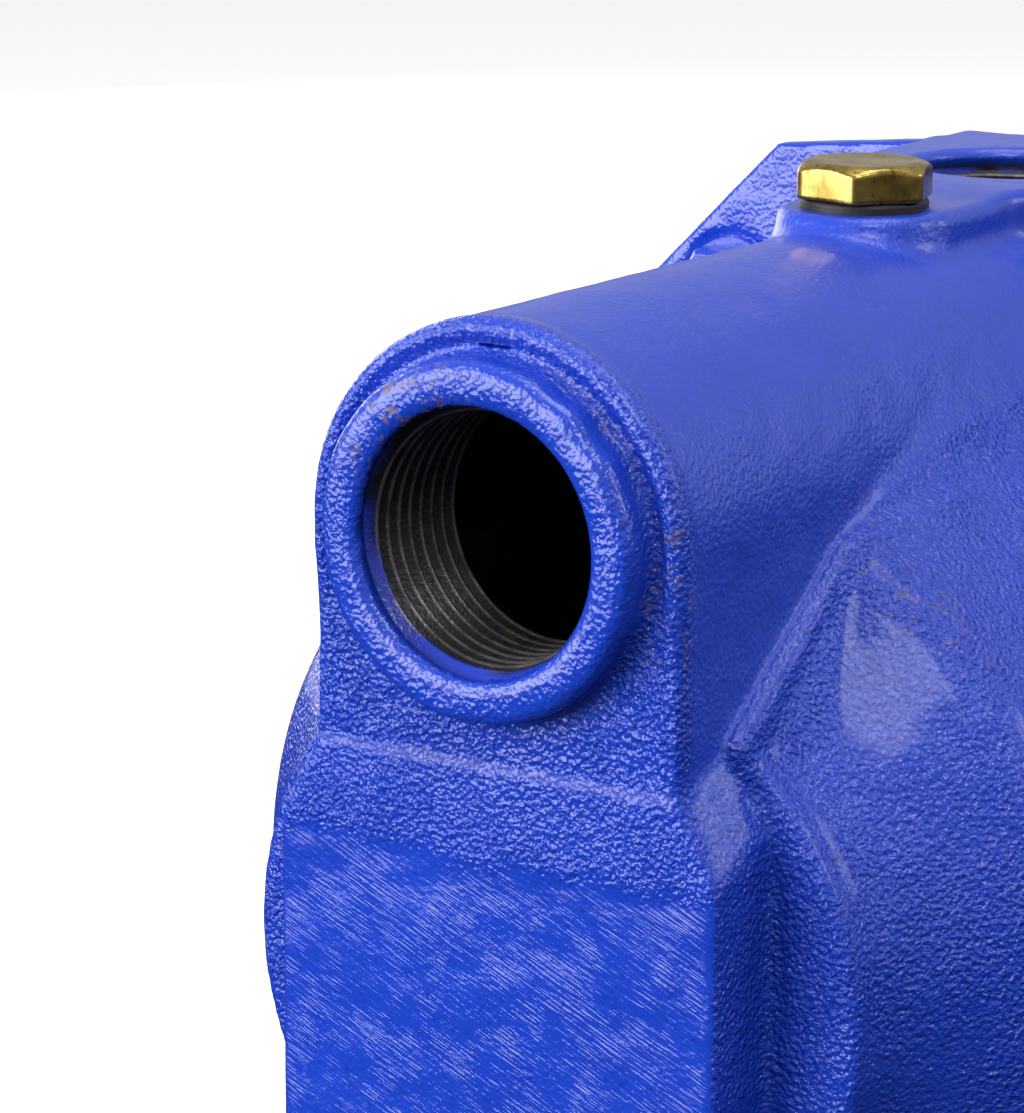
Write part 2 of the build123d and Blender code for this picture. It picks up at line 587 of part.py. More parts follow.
with BuildPart() as windings:
    with BuildSketch(section(STACK_Y0 - 4)):
        with PolarLocations(0, SLOTS):
            with Locations((41, 0)):
                Rectangle(9.2, 4.6)
    extrude(amount=-(STACK_Y1 - STACK_Y0 + 8))
    for end_y, way in ((STACK_Y0, -1), (STACK_Y1, 1)):
        revolve(turned([(end_y + way * 2, 36), (end_y + way * 2, 46), (end_y + way * 8, 50),
                        (end_y + way * 18, 49), (end_y + way * 20, 45), (end_y + way * 18, 38)]),
                axis=SHAFT_AXIS)
save("windings", windings.part)


# ---- motor housing ------------------------------------------------------------------
FIN_COUNT = 44
FIN_THICK = 2.0
BOX_PAD_Z = SHAFT_Z + 66.0


def fin_angles():
    """Fins all round, left out at the tie bolts, the top pad and the nameplate."""
    for i in range(FIN_COUNT):
        angle = 360.0 * (i + 0.5) / FIN_COUNT
        from_tie = abs((angle % 90) - 45)
        from_top = abs(angle - 90)
        from_plate = min(angle, 360 - angle)
        if from_tie > 7 and from_top > 34 and from_plate > 20:
            yield angle


with BuildPart() as motor_housing:
    revolve(ring(MOTOR_Y + 0.02, HOUSING_END_Y, HOUSING_R, HOUSING_R + HOUSING_WALL), axis=SHAFT_AXIS)
    fin_mid = 0.5 * (HOUSING_R + 2 + FIN_R)
    with BuildSketch(section(MOTOR_Y + 3)):
        for angle in fin_angles():
            with Locations(Location((fin_mid * cos(radians(angle)), fin_mid * sin(radians(angle))), angle)):
                Rectangle(FIN_R - HOUSING_R - 2, FIN_THICK)
    extrude(amount=-(HOUSING_END_Y - MOTOR_Y - 6))
    # flat pads for the terminal box and the nameplate
    extrude(block(section(48), 78, 22, 0, BOX_PAD_Z - SHAFT_Z - 11), amount=-76)
    extrude(block(section(40), 12, 38, HOUSING_R + 1, 0), amount=-70)
    revolve(ring(MOTOR_Y - 1, HOUSING_END_Y + 1, 0, HOUSING_R), axis=SHAFT_AXIS, mode=Mode.SUBTRACT)
    # passage for the winding leads
    extrude(block(Plane.XY.offset(SHAFT_Z + 50), 24, 16, 0, 86), amount=20, mode=Mode.SUBTRACT)
    extrude(disc_face(Plane.XY.offset(SHAFT_Z + 58), 1.6, [(sx * 30, 86 + sy * 28) for sx, sy in four(1)]),
            amount=10, mode=Mode.SUBTRACT)
save("motor_housing", motor_housing.part)

NAMEPLATE_X = HOUSING_R + 7
with BuildPart() as nameplate:
    extrude(block(side(NAMEPLATE_X), 60, 32, 75, 0, corner=2), amount=0.8)
    extrude(disc_face(side(NAMEPLATE_X), 1.25, [(75 + u, v) for u, v in four(26.5, 12.5)]), amount=0.8,
            mode=Mode.SUBTRACT)
save("nameplate", nameplate.part)

with BuildPart() as nameplate_rivets:
    rivet_spots = [(75 + u, v) for u, v in four(26.5, 12.5)]
    extrude(disc_face(side(NAMEPLATE_X), 1.2, rivet_spots), amount=0.8)
    extrude(disc_face(side(NAMEPLATE_X + 0.8), 2.1, rivet_spots), amount=0.9)
    fillet(faces().sort_by(Axis.X)[-4:].edges(), 0.7)
save("nameplate_rivets", nameplate_rivets.part)


# ---- rear shield, tie bolts, fan and cover ------------------------------------------
SCREW_ANGLES = (0, 120, 240)
COVER_SCREW_Y = HOUSING_END_Y + 5.5


def radial(y, turn):
    """Plane on the shaft whose normal points out, turned from straight up."""
    return Plane(origin=(0, y, SHAFT_Z), x_dir=(0, 1, 0), z_dir=(sin(radians(turn)), 0, cos(radians(turn))))


with BuildPart() as rear_shield:
    revolve(turned([(HOUSING_END_Y + 0.02, HOUSING_R - 6), (HOUSING_END_Y + 0.02, COVER_R - 1.3),
                    (HOUSING_END_Y + 10, COVER_R - 1.3), (HOUSING_END_Y + 12, 60), (HOUSING_END_Y + 12, 9.5),
                    (HOUSING_END_Y + 5, 9.5), (HOUSING_END_Y + 5, BEARING_OUTER + SEAT_FIT),
                    (HOUSING_END_Y - 9, BEARING_OUTER + SEAT_FIT), (HOUSING_END_Y - 9, 24),
                    (HOUSING_END_Y + 4, 26), (HOUSING_END_Y + 4, 52)]), axis=SHAFT_AXIS)
    revolve(ring(HOUSING_END_Y - 5, HOUSING_END_Y + 5, HOUSING_R - 6, HOUSING_R - 0.1), axis=SHAFT_AXIS)
    extrude(disc_face(section(HOUSING_END_Y), 2.7, four(TIE_R / sqrt(2))), amount=-14, mode=Mode.SUBTRACT)
    extrude(disc_face(section(HOUSING_END_Y + 6), 5.4, four(TIE_R / sqrt(2))), amount=-8, mode=Mode.SUBTRACT)
    for turn in SCREW_ANGLES:
        extrude(disc_face(radial(COVER_SCREW_Y, turn).offset(58), 2.0), amount=14, mode=Mode.SUBTRACT)
save("rear_shield", rear_shield.part)

with BuildPart() as tie_bolts:
    extrude(hexagon(section(HOUSING_END_Y + 6), 8.0, four(TIE_R / sqrt(2))), amount=-3.6)
    extrude(disc_face(section(MOTOR_Y - 10), 2.45, four(TIE_R / sqrt(2))),
            amount=-(HOUSING_END_Y + 6 - MOTOR_Y + 10))
save("tie_bolts", tie_bolts.part)

FAN_Y = 166.0
with BuildPart() as cooling_fan:
    revolve(turned([(FAN_Y, 6.0 + SEAT_FIT), (FAN_Y, 54), (FAN_Y + 2, 54), (FAN_Y + 4, 13),
                    (FAN_Y + 18, 11), (FAN_Y + 18, 6.0 + SEAT_FIT)]), axis=SHAFT_AXIS)
    with BuildSketch(section(FAN_Y + 1)):
        with PolarLocations(0, 9):
            with Locations((32.5, 0)):
                Rectangle(43, 2.0)
    extrude(amount=-17)
save("cooling_fan", cooling_fan.part)

with BuildPart() as fan_clip:
    extrude(annulus(section(184.25), 8.2, 5.5), amount=-1.0)
    extrude(block(section(184), 3.4, 6, 0, 7), amount=-2, mode=Mode.SUBTRACT)
save("fan_clip", fan_clip.part)

with BuildPart() as fan_cover:
    revolve(turned([(HOUSING_END_Y + 2, COVER_R - 1.2), (HOUSING_END_Y + 2, COVER_R),
                    (COVER_END_Y - 12, COVER_R), (COVER_END_Y - 3, COVER_R - 4), (COVER_END_Y, COVER_R - 13),
                    (COVER_END_Y, 0), (COVER_END_Y - 1.2, 0), (COVER_END_Y - 1.2, COVER_R - 13.6),
                    (COVER_END_Y - 4, COVER_R - 5), (COVER_END_Y - 12.6, COVER_R - 1.2)]), axis=SHAFT_AXIS)
    # grille: rings of slots cut through the end, left whole along four bars
    with BuildSketch(section(COVER_END_Y - 3)):
        for inner in (44, 35, 26, 17):
            Circle(inner + 5.5)
            Circle(inner, mode=Mode.SUBTRACT)
        with PolarLocations(0, 4, start_angle=22.5):
            Rectangle(120, 5, mode=Mode.SUBTRACT)
    extrude(amount=-5, mode=Mode.SUBTRACT)
    for turn in SCREW_ANGLES:
        extrude(disc_face(radial(COVER_SCREW_Y, turn), 2.2), amount=COVER_R + 5, mode=Mode.SUBTRACT)
save("fan_cover", fan_cover.part)

with BuildPart() as fan_cover_screws:
    for turn in SCREW_ANGLES:
        plane = radial(COVER_SCREW_Y, turn)
        extrude(disc_face(plane.offset(59), 1.98), amount=COVER_R - 58)
        extrude(disc_face(plane.offset(COVER_R + 0.02), 3.6), amount=2.2)
        extrude(block(plane.offset(COVER_R + 1.2), 5.4, 0.9), amount=2, mode=Mode.SUBTRACT)
        extrude(block(plane.offset(COVER_R + 1.2), 0.9, 5.4), amount=2, mode=Mode.SUBTRACT)
save("fan_cover_screws", fan_cover_screws.part)


# ---- terminal box -------------------------------------------------------------------
BOX_Y = 86.0
BOX_X_SIZE = 80.0
BOX_Y_SIZE = 76.0
BOX_FLOOR_Z = BOX_PAD_Z + 1.0
BOX_RIM_Z = BOX_FLOOR_Z + 34.0
LID_Z = BOX_RIM_Z + 1.2
LID_TOP_Z = LID_Z + 12.0
BOX_WALL = 2.6
GLAND_Z = BOX_FLOOR_Z + 17.0
LID_SCREWS = [(u, BOX_Y + v) for u, v in four(34.5, 32.5)]
BOX_SCREWS = [(u, BOX_Y + v) for u, v in four(30, 28)]


def box_face(z, inset=0.0, corner=9.0):
    """Rounded rectangle of the terminal box at a height, drawn in by an inset."""
    return block(Plane.XY.offset(z), BOX_X_SIZE - 2 * inset, BOX_Y_SIZE - 2 * inset, 0, BOX_Y, corner - inset)


with BuildPart() as box_gasket:
    extrude(box_face(BOX_PAD_Z, 1.5), amount=1.0)
    extrude(block(Plane.XY.offset(BOX_PAD_Z), 24, 16, 0, BOX_Y), amount=1, mode=Mode.SUBTRACT)
    extrude(disc_face(Plane.XY.offset(BOX_PAD_Z), 2.1, BOX_SCREWS), amount=1, mode=Mode.SUBTRACT)
save("box_gasket", box_gasket.part)

with BuildPart() as terminal_box:
    extrude(box_face(BOX_FLOOR_Z), amount=BOX_RIM_Z - BOX_FLOOR_Z)
    extrude(box_face(BOX_FLOOR_Z + BOX_WALL, BOX_WALL), amount=BOX_RIM_Z, mode=Mode.SUBTRACT)
    # corner posts for the lid screws
    extrude(disc_face(Plane.XY.offset(BOX_FLOOR_Z + 12), 4.0, LID_SCREWS), amount=BOX_RIM_Z - BOX_FLOOR_Z - 12)
    extrude(disc_face(Plane.XY.offset(BOX_FLOOR_Z + 14), 1.6, LID_SCREWS), amount=30, mode=Mode.SUBTRACT)
    # lead passage, fixing holes and the cable inlet
    extrude(block(Plane.XY.offset(BOX_FLOOR_Z), 24, 16, 0, BOX_Y), amount=BOX_WALL, mode=Mode.SUBTRACT)
    extrude(disc_face(Plane.XY.offset(BOX_FLOOR_Z), 2.1, BOX_SCREWS), amount=BOX_WALL, mode=Mode.SUBTRACT)
    extrude(disc_face(side(-BOX_X_SIZE / 2 - 1, GLAND_Z), 8.1, [(BOX_Y + 16, 0)]), amount=6, mode=Mode.SUBTRACT)
save("terminal_box", terminal_box.part)

with BuildPart() as box_screws:
    extrude(disc_face(Plane.XY.offset(BOX_FLOOR_Z - 6.5), 1.58, BOX_SCREWS), amount=6.5 + BOX_WALL)
    extrude(disc_face(Plane.XY.offset(BOX_FLOOR_Z + BOX_WALL), 3.2, BOX_SCREWS), amount=2.0)
save("box_screws", box_screws.part)

with BuildPart() as lid_gasket:
    extrude(box_face(BOX_RIM_Z), amount=1.2)
    extrude(box_face(BOX_RIM_Z, BOX_WALL), amount=1.2, mode=Mode.SUBTRACT)
    extrude(disc_face(Plane.XY.offset(BOX_RIM_Z), 4.0, LID_SCREWS), amount=1.2)
    extrude(disc_face(Plane.XY.offset(BOX_RIM_Z), 2.0, LID_SCREWS), amount=1.2, mode=Mode.SUBTRACT)
save("lid_gasket", lid_gasket.part)

with BuildPart() as terminal_lid:
    extrude(box_face(LID_Z, -0.6), amount=LID_TOP_Z - LID_Z)
    fillet(faces().sort_by(Axis.Z)[-1].edges(), 3.0)
    extrude(box_face(LID_Z, BOX_WALL), amount=LID_TOP_Z - LID_Z - BOX_WALL, mode=Mode.SUBTRACT)
    extrude(disc_face(Plane.XY.offset(LID_Z), 4.0, LID_SCREWS), amount=LID_TOP_Z - LID_Z - 1)
    extrude(disc_face(Plane.XY.offset(LID_Z), 2.1, LID_SCREWS), amount=14, mode=Mode.SUBTRACT)
    extrude(disc_face(Plane.XY.offset(LID_TOP_Z - 3.2), 3.6, LID_SCREWS), amount=5, mode=Mode.SUBTRACT)
save("terminal_lid", terminal_lid.part)

with BuildPart() as lid_screws:
    extrude(disc_face(Plane.XY.offset(BOX_FLOOR_Z + 16), 1.58, LID_SCREWS),
            amount=LID_TOP_Z - 3.2 - BOX_FLOOR_Z - 16)
    extrude(disc_face(Plane.XY.offset(LID_TOP_Z - 3.2), 3.3, LID_SCREWS), amount=2.4)
    for spot in LID_SCREWS:
        extrude(block(Plane.XY.offset(LID_TOP_Z - 1.8), 4.6, 0.8, *spot), amount=2, mode=Mode.SUBTRACT)
        extrude(block(Plane.XY.offset(LID_TOP_Z - 1.8), 0.8, 4.6, *spot), amount=2, mode=Mode.SUBTRACT)
save("lid_screws", lid_screws.part)

CAPACITOR_Z = BOX_FLOOR_Z + BOX_WALL + 16.0
with BuildPart() as capacitor:
    with BuildSketch(side(-29, CAPACITOR_Z)):
        with Locations((BOX_Y - 17, 0)):
            Circle(14.5)
    extrude(amount=56)
    fillet(edges().filter_by(GeomType.CIRCLE), 1.5)
    with BuildSketch(side(27, CAPACITOR_Z)):
        with Locations((BOX_Y - 22, 0), (BOX_Y - 12, 0)):
            Rectangle(0.8, 6.3)
    extrude(amount=5)
save("capacitor", capacitor.part)

with BuildPart() as terminal_block:
    extrude(block(Plane.XY.offset(BOX_FLOOR_Z + BOX_WALL), 44, 18, 4, BOX_Y + 20), amount=12)
    for column in range(4):
        spot = (4 + 10.5 * (column - 1.5), BOX_Y + 20)
        extrude(block(Plane.XY.offset(BOX_FLOOR_Z + BOX_WALL + 5), 8, 15, *spot), amount=8, mode=Mode.SUBTRACT)
save("terminal_block", terminal_block.part)

with BuildPart() as terminal_screws:
    for column in range(4):
        spot = (4 + 10.5 * (column - 1.5), BOX_Y + 20)
        extrude(block(Plane.XY.offset(BOX_FLOOR_Z + BOX_WALL + 5), 7, 13, *spot), amount=1)
        extrude(disc_face(Plane.XY.offset(BOX_FLOOR_Z + BOX_WALL + 6), 2.6, [spot]), amount=2.2)
        extrude(block(Plane.XY.offset(BOX_FLOOR_Z + BOX_WALL + 7.4), 4, 0.8, *spot), amount=2,
                mode=Mode.SUBTRACT)
save("terminal_screws", terminal_screws.part)


# ---- cable gland (its cable is left off) --------------------------------------------
def gland_turned(points):
    """(x, radius) outline about the gland's axis."""
    plane = Plane(origin=(0, BOX_Y + 16, GLAND_Z), x_dir=(1, 0, 0), z_dir=(0, -1, 0))
    return outline(plane, points)


GLAND_AXIS = Axis((0, BOX_Y + 16, GLAND_Z), (1, 0, 0))
BOX_SIDE_X = -BOX_X_SIZE / 2

with BuildPart() as gland_body:
    gland_plane = Plane(origin=(BOX_SIDE_X, BOX_Y + 16, GLAND_Z), x_dir=(0, 0, 1), z_dir=(-1, 0, 0))
    extrude(hexagon(gland_plane, 19), amount=5)
    revolve(gland_turned([(BOX_SIDE_X - 14, 4.2), (BOX_SIDE_X - 14, 7.4), (BOX_SIDE_X - 5, 7.4),
                          (BOX_SIDE_X - 5, 8.0), (BOX_SIDE_X + 9, 8.0), (BOX_SIDE_X + 9, 4.2)]),
            axis=GLAND_AXIS)
    extrude(disc_face(gland_plane.offset(-10), 4.2), amount=30, mode=Mode.SUBTRACT)
save("gland_body", gland_body.part)

with BuildPart() as gland_locknut:
    extrude(hexagon(gland_plane.offset(-BOX_WALL - 4), 19), amount=4)
    extrude(disc_face(gland_plane.offset(-BOX_WALL - 4), 8.02), amount=4, mode=Mode.SUBTRACT)
save("gland_locknut", gland_locknut.part)

with BuildPart() as gland_seal:
    revolve(gland_turned([(BOX_SIDE_X - 14, 3.4), (BOX_SIDE_X - 14, 7.2), (BOX_SIDE_X - 17.5, 5.6),
                          (BOX_SIDE_X - 17.5, 3.4)]), axis=GLAND_AXIS)
save("gland_seal", gland_seal.part)

with BuildPart() as gland_cap:
    extrude(hexagon(gland_plane.offset(6), 19), amount=13)
    with BuildSketch(gland_plane.offset(5)):
        Circle(10.6)
    with BuildSketch(gland_plane.offset(19)):
        Circle(9.0)
    loft(mode=Mode.INTERSECT)
    extrude(disc_face(gland_plane.offset(5), 7.5), amount=10, mode=Mode.SUBTRACT)
    revolve(gland_turned([(BOX_SIDE_X - 14.9, 0), (BOX_SIDE_X - 14.9, 7.5), (BOX_SIDE_X - 17.6, 6.2),
                          (BOX_SIDE_X - 20, 5.2), (BOX_SIDE_X - 20, 0)]), axis=GLAND_AXIS, mode=Mode.SUBTRACT)
save("gland_cap", gland_cap.part)
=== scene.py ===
"""Looks of the shallow-well jet pump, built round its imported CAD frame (Blender 4.5).

The iron castings are modelled as distance fields: shapes are joined and cut with real fillets,
meshed by surface nets, then roughened. Lengths are in millimetres until a mesh is made.
"""
import json
import math

import bmesh
import bpy
import numpy as np
from mathutils import Matrix, Vector


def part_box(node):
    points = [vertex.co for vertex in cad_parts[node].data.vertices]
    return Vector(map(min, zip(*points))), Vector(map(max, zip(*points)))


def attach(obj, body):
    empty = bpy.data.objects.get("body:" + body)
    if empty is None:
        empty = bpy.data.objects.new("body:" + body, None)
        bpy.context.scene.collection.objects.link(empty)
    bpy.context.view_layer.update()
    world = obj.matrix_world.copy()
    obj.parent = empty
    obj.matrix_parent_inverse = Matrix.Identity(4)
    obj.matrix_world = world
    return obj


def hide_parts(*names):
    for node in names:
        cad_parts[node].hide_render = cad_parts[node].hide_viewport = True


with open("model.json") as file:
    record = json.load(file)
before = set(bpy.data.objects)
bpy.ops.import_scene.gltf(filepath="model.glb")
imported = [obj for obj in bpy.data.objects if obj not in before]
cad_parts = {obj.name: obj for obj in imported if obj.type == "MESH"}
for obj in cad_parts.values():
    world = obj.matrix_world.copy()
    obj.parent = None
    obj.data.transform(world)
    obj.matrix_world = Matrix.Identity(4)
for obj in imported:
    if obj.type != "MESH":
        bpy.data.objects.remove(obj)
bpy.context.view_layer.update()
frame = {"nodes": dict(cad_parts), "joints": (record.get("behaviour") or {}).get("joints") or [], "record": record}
NODES = frame["nodes"]
MOUNTS = {m["name"]: m for m in frame["record"]["mounts"]}
MM = 0.001

# ---- places taken from the frame ------------------------------------------------------
BODY_LOW, BODY_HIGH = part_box("pump_body")
FACE_Y = BODY_LOW.y / MM                       # suction ring's face
PORT_Z = MOUNTS["suction_port"]["pos_m"][2] / MM
SHAFT_Z = next(j for j in frame["joints"] if j["name"] == "rotor_spin")["pos_m"][2] / MM
DROP = PORT_Z - SHAFT_Z                        # shaft below the suction port's axis
BODY_DEPTH = (BODY_HIGH.y - BODY_LOW.y) / MM
DISCHARGE_DEPTH = MOUNTS["discharge_port"]["pos_m"][1] / MM - FACE_Y
PAD_TOP = BODY_HIGH.z / MM - PORT_Z
PLUG_LOW, PLUG_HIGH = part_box("filler_plug")
PLUG_DEPTH = 0.5 * (PLUG_LOW.y + PLUG_HIGH.y) / MM - FACE_Y
PORT_R = MOUNTS["suction_port"]["dims"]["r_mm"]


# ---- distance fields ------------------------------------------------------------------
def join(a, b, radius=0.0):
    """Union of two fields, with a concave fillet (its radius may vary)."""
    if np.max(radius) <= 0:
        return np.minimum(a, b)
    u = np.maximum(radius - a, 0)
    v = np.maximum(radius - b, 0)
    return np.maximum(radius, np.minimum(a, b)) - np.sqrt(u * u + v * v)


def common(a, b, radius=0.0):
    """Intersection of two fields, with a rounded edge (its radius may vary)."""
    if np.max(radius) <= 0:
        return np.maximum(a, b)
    u = np.maximum(radius + a, 0)
    v = np.maximum(radius + b, 0)
    return np.minimum(-radius, np.maximum(a, b)) + np.sqrt(u * u + v * v)


def cut(a, b, radius=0.0):
    """Field a with b taken away, the new edge rounded."""
    return common(a, -b, radius)


def span(value, low, high):
    """Slab between two planes."""
    return np.maximum(low - value, value - high)


def slope(a, b, a0, b0, na, nb):
    """Half plane through (a0, b0) with outward normal (na, nb)."""
    size = math.hypot(na, nb)
    return ((a - a0) * na + (b - b0) * nb) / size


class Grid:
    """Sample points of a box, as three arrays that broadcast together."""

    def __init__(self, low, high, step):
        counts = [int(math.ceil((b - a) / step)) + 1 for a, b in zip(low, high)]
        self.low, self.step = np.array(low, np.float32), step
        axes = [a + step * np.arange(n, dtype=np.float32) for a, n in zip(low, counts)]
        self.x = axes[0][:, None, None]
        self.y = axes[1][None, :, None]
        self.z = axes[2][None, None, :]


CORNERS = np.array([(i, j, k) for i in (0, 1) for j in (0, 1) for k in (0, 1)])
EDGES = [(a, b) for a in range(8) for b in range(a + 1, 8) if np.abs(CORNERS[a] - CORNERS[b]).sum() == 1]


def surface_nets(field, grid):
    """Quads of the field's zero surface: one vertex per crossed cell, at the mean of its crossings."""
    inside = field < 0
    shape = np.array(field.shape) - 1
    count = np.zeros(shape, np.uint8)
    for i, j, k in CORNERS:
        count += inside[i:shape[0] + i, j:shape[1] + j, k:shape[2] + k]
    cells = np.argwhere((count > 0) & (count < 8))
    del count
    values = np.stack([field[tuple((cells + c).T)] for c in CORNERS], 1)
    total = np.zeros((len(cells), 3), np.float32)
    hits = np.zeros(len(cells), np.float32)
    for a, b in EDGES:
        va, vb = values[:, a], values[:, b]
        crossed = (va < 0) != (vb < 0)
        t = np.where(crossed, va / np.where(crossed, va - vb, 1), 0)[:, None]
        total += np.where(crossed[:, None], CORNERS[a] + t * (CORNERS[b] - CORNERS[a]), 0)
        hits += crossed
    points = grid.low + grid.step * (cells + total / hits[:, None])
    number = np.full(shape, -1, np.int32)
    number[tuple(cells.T)] = np.arange(len(cells))
    quads = []
    for axis in range(3):
        p, q = (axis + 1) % 3, (axis + 2) % 3
        here = np.take(inside, range(shape[axis]), axis)
        there = np.take(inside, range(1, shape[axis] + 1), axis)
        edge = np.argwhere(here != there)
        edge = edge[(edge[:, p] > 0) & (edge[:, q] > 0) & (edge[:, p] < shape[p]) & (edge[:, q] < shape[q])]
        ring = []
        for dp, dq in ((1, 1), (0, 1), (0, 0), (1, 0)):
            cell = edge.copy()
            cell[:, p] -= dp
            cell[:, q] -= dq
            ring.append(number[tuple(cell.T)])
        ring = np.stack(ring, 1)
        flip = ~here[tuple(edge.T)]
        ring[flip] = ring[flip][:, ::-1]
        quads.append(ring)
    return points, np.concatenate(quads)


def mesh_object(name, points, faces):
    """Smooth-shaded mesh object from points in millimetres."""
    mesh = bpy.data.meshes.new(name)
    size = faces.shape[1]
    mesh.vertices.add(len(points))
    mesh.vertices.foreach_set("co", (np.asarray(points, np.float64) * MM).astype(np.float32).ravel())
    mesh.loops.add(faces.size)
    mesh.loops.foreach_set("vertex_index", faces.astype(np.int32).ravel())
    mesh.polygons.add(len(faces))
    mesh.polygons.foreach_set("loop_start", np.arange(0, faces.size, size, dtype=np.int32))
    mesh.update(calc_edges=True)
    mesh.validate()
    mesh.shade_smooth()
    piece = bpy.data.objects.new(name, mesh)
    bpy.context.scene.collection.objects.link(piece)
    return piece


def vertex_normals(points, quads):
    """Area-weighted unit normals of a quad mesh."""
    a, b, c, d = (points[quads[:, i]] for i in range(4))
    face = np.cross(c - a, d - b)
    normal = np.zeros_like(points)
    for i in range(4):
        for axis in range(3):
            normal[:, axis] += np.bincount(quads[:, i], face[:, axis], len(points))
    return normal / np.maximum(np.linalg.norm(normal, axis=1, keepdims=True), 1e-9)


def lumps(points, scale, seed):
    """Smooth noise from -1 to 1, with lumps about as wide as scale."""
    rng = np.random.default_rng(seed)
    total = np.zeros(len(points))
    for _ in range(14):
        way = rng.normal(size=3)
        way *= rng.uniform(0.7, 1.4) * math.pi / scale / np.linalg.norm(way)
        total += np.sin(points @ way + rng.uniform(0, 2 * math.pi))
    return total / 5.0


# ---- pump body ------------------------------------------------------------------------
# depths run back from the suction ring's face; heights are above the suction port's axis
TUBE_R = 25.8
COLUMN_FRONT = 5.2
COLUMN_HALF = 31.3
DISC_FRONT = 17.0
DISC_R = 43.3
SHOULDER = (41.0, 60.0)
FLANGE_FRONT = 160.0
SUCTION_RING_R = 21.55
MOUTH_R = 16.0
LEDGE_HALF = 28.5          # half width across the two ledges under the tube
LEDGE_START = (14.15, -23.25)
LEDGE_CLIMB = 0.716
COLUMN_FOOT = 49.0         # column's lower end, below the shaft
DOME_START = (19, 43)      # depth and radius where the dome leaves the front disc
BOSS_HALF = 25
PLUG_SEAT = 28.2           # plug boss's height above the port's axis
DRAIN_DROP = 33            # drain plug below the shaft
PLUG_HOLE_R = 6.6
BOLT_X, BOLT_Z = 57.5, 61
BOLT_HOLE_R, SPOT_FACE_R = 4.4, 9


def ledge_height(out, y):
    """Height of the ledge that climbs along the tube from the front facet to the drum."""
    return LEDGE_START[1] + LEDGE_CLIMB * (y - LEDGE_START[0]) - 0.35 * (out - TUBE_R)


def front_field(x, y, z):
    """Suction tube, flat-sided below its axis, over the front column with its sloping shoulders."""
    out = np.abs(x)
    across = np.where(z > 0, np.hypot(x, z), out) - TUBE_R
    tube = common(common(across, -62 - z), y - FLANGE_FRONT - 4)
    # sloping facet at each front shoulder, over a wall that leans out to the column's full width
    facet = 0.852 * (out - TUBE_R) - 0.267 * (y - 4.8) + 0.451 * (z + 28.7)
    wall = 0.9 * (out - TUBE_R - 0.5 * np.clip(LEDGE_START[1] - z, 0, 11))
    shoulder = common(common(facet, wall, 0.6), out - COLUMN_HALF, 0.8)
    ledge = common((z - ledge_height(out, y)) / 1.28, out - LEDGE_HALF, 0.4)
    ledge = common(ledge, LEDGE_START[0] + 0.4 * (out - TUBE_R) - y, 0.4)
    column = common(join(shoulder, ledge, 0.4), z + 4)
    column = common(common(column, -(DROP + COLUMN_FOOT) - z, 3.0), y - 60)
    chin = slope(y, z, COLUMN_FRONT, -(DROP + COLUMN_FOOT - 7), -0.7, -0.7)
    # the lower front stands a little proud; the front's edge is rounder at the top and the left
    proud = 0.22 * np.clip(-27.5 - z, 0, 1)
    front = common(COLUMN_FRONT - proud - y, chin, 1.5)
    edge = 1.3 + 2.6 * np.clip((-4 - x) / 20, 0, 1) * np.clip((z + 22) / 20, 0, 1)
    edge = edge + 0.8 * np.clip((z - 12) / 12, 0, 1) - 0.5 * np.clip((-28 - z) / 6, 0, 1)
    return common(join(tube, column, 0.7), front, edge)


def drum_profile(y):
    """Barrel's radius behind the shoulder: a shallow curve through the drum's middle and its end."""
    past = y - SHOULDER[0]
    return SHOULDER[1] + 0.1836 * past - 0.0007165 * past ** 2


def drum_field(y, radius):
    """Front disc, hollow-sided dome, crisp shoulder and tapered barrel about the shaft."""
    start, low = DOME_START
    way = np.maximum(y - start, 0) / (SHOULDER[0] - start)
    dome = (radius - low - (SHOULDER[1] - low) * way ** 1.5) / np.sqrt(1 + 1.35 * way)
    barrel = common(dome, radius - drum_profile(y), 2.5)
    barrel = common(barrel, span(y, DISC_FRONT + 0.9, BODY_DEPTH - 4))
    disc = common(common(radius - DISC_R, DISC_FRONT - y, 1.1), y - 40)
    return join(barrel, disc, 0.8)


def flange_field(x, y, z):
    """Chamfered square flange with crowned sides, drawn in behind its thin rim."""
    u, v = np.abs(x), np.abs(z + DROP)
    crowned = np.maximum(v + 0.0912 * np.maximum(u - 25, 0), u + 0.0912 * np.maximum(v - 25, 0)) - 86.6
    plan = np.maximum(crowned, (u + v - 134.5) / math.sqrt(2))
    plan = plan + 0.45 * np.maximum(y - FLANGE_FRONT - 3, 0)
    return common(plan, span(y, FLANGE_FRONT, BODY_DEPTH), 0.7)


def discharge_field(x, y, z):
    """Discharge boss, half round in front and square to the flange behind, and the plug's boss and neck."""
    boss = np.where(y < DISCHARGE_DEPTH, np.hypot(x, y - DISCHARGE_DEPTH), np.abs(x)) - BOSS_HALF
    neck = common(np.abs(x) - 12.2, span(y, PLUG_DEPTH, DISCHARGE_DEPTH))
    top = 28.3 + (PAD_TOP - 28.3) * np.clip((y - 108) / 10, 0, 1)
    pad = common(join(boss, neck, 7.0), span(z, -5, top), 2.0)
    pad = common(pad, y - BODY_DEPTH, 1.0)
    around = np.hypot(x, y - PLUG_DEPTH)
    flare = slope(z, around, PLUG_SEAT, 11.4, 0.18, 1.0)
    seat = common(common(flare, z - PLUG_SEAT, 0.9), 5 - z)
    return join(pad, seat, 0.6)


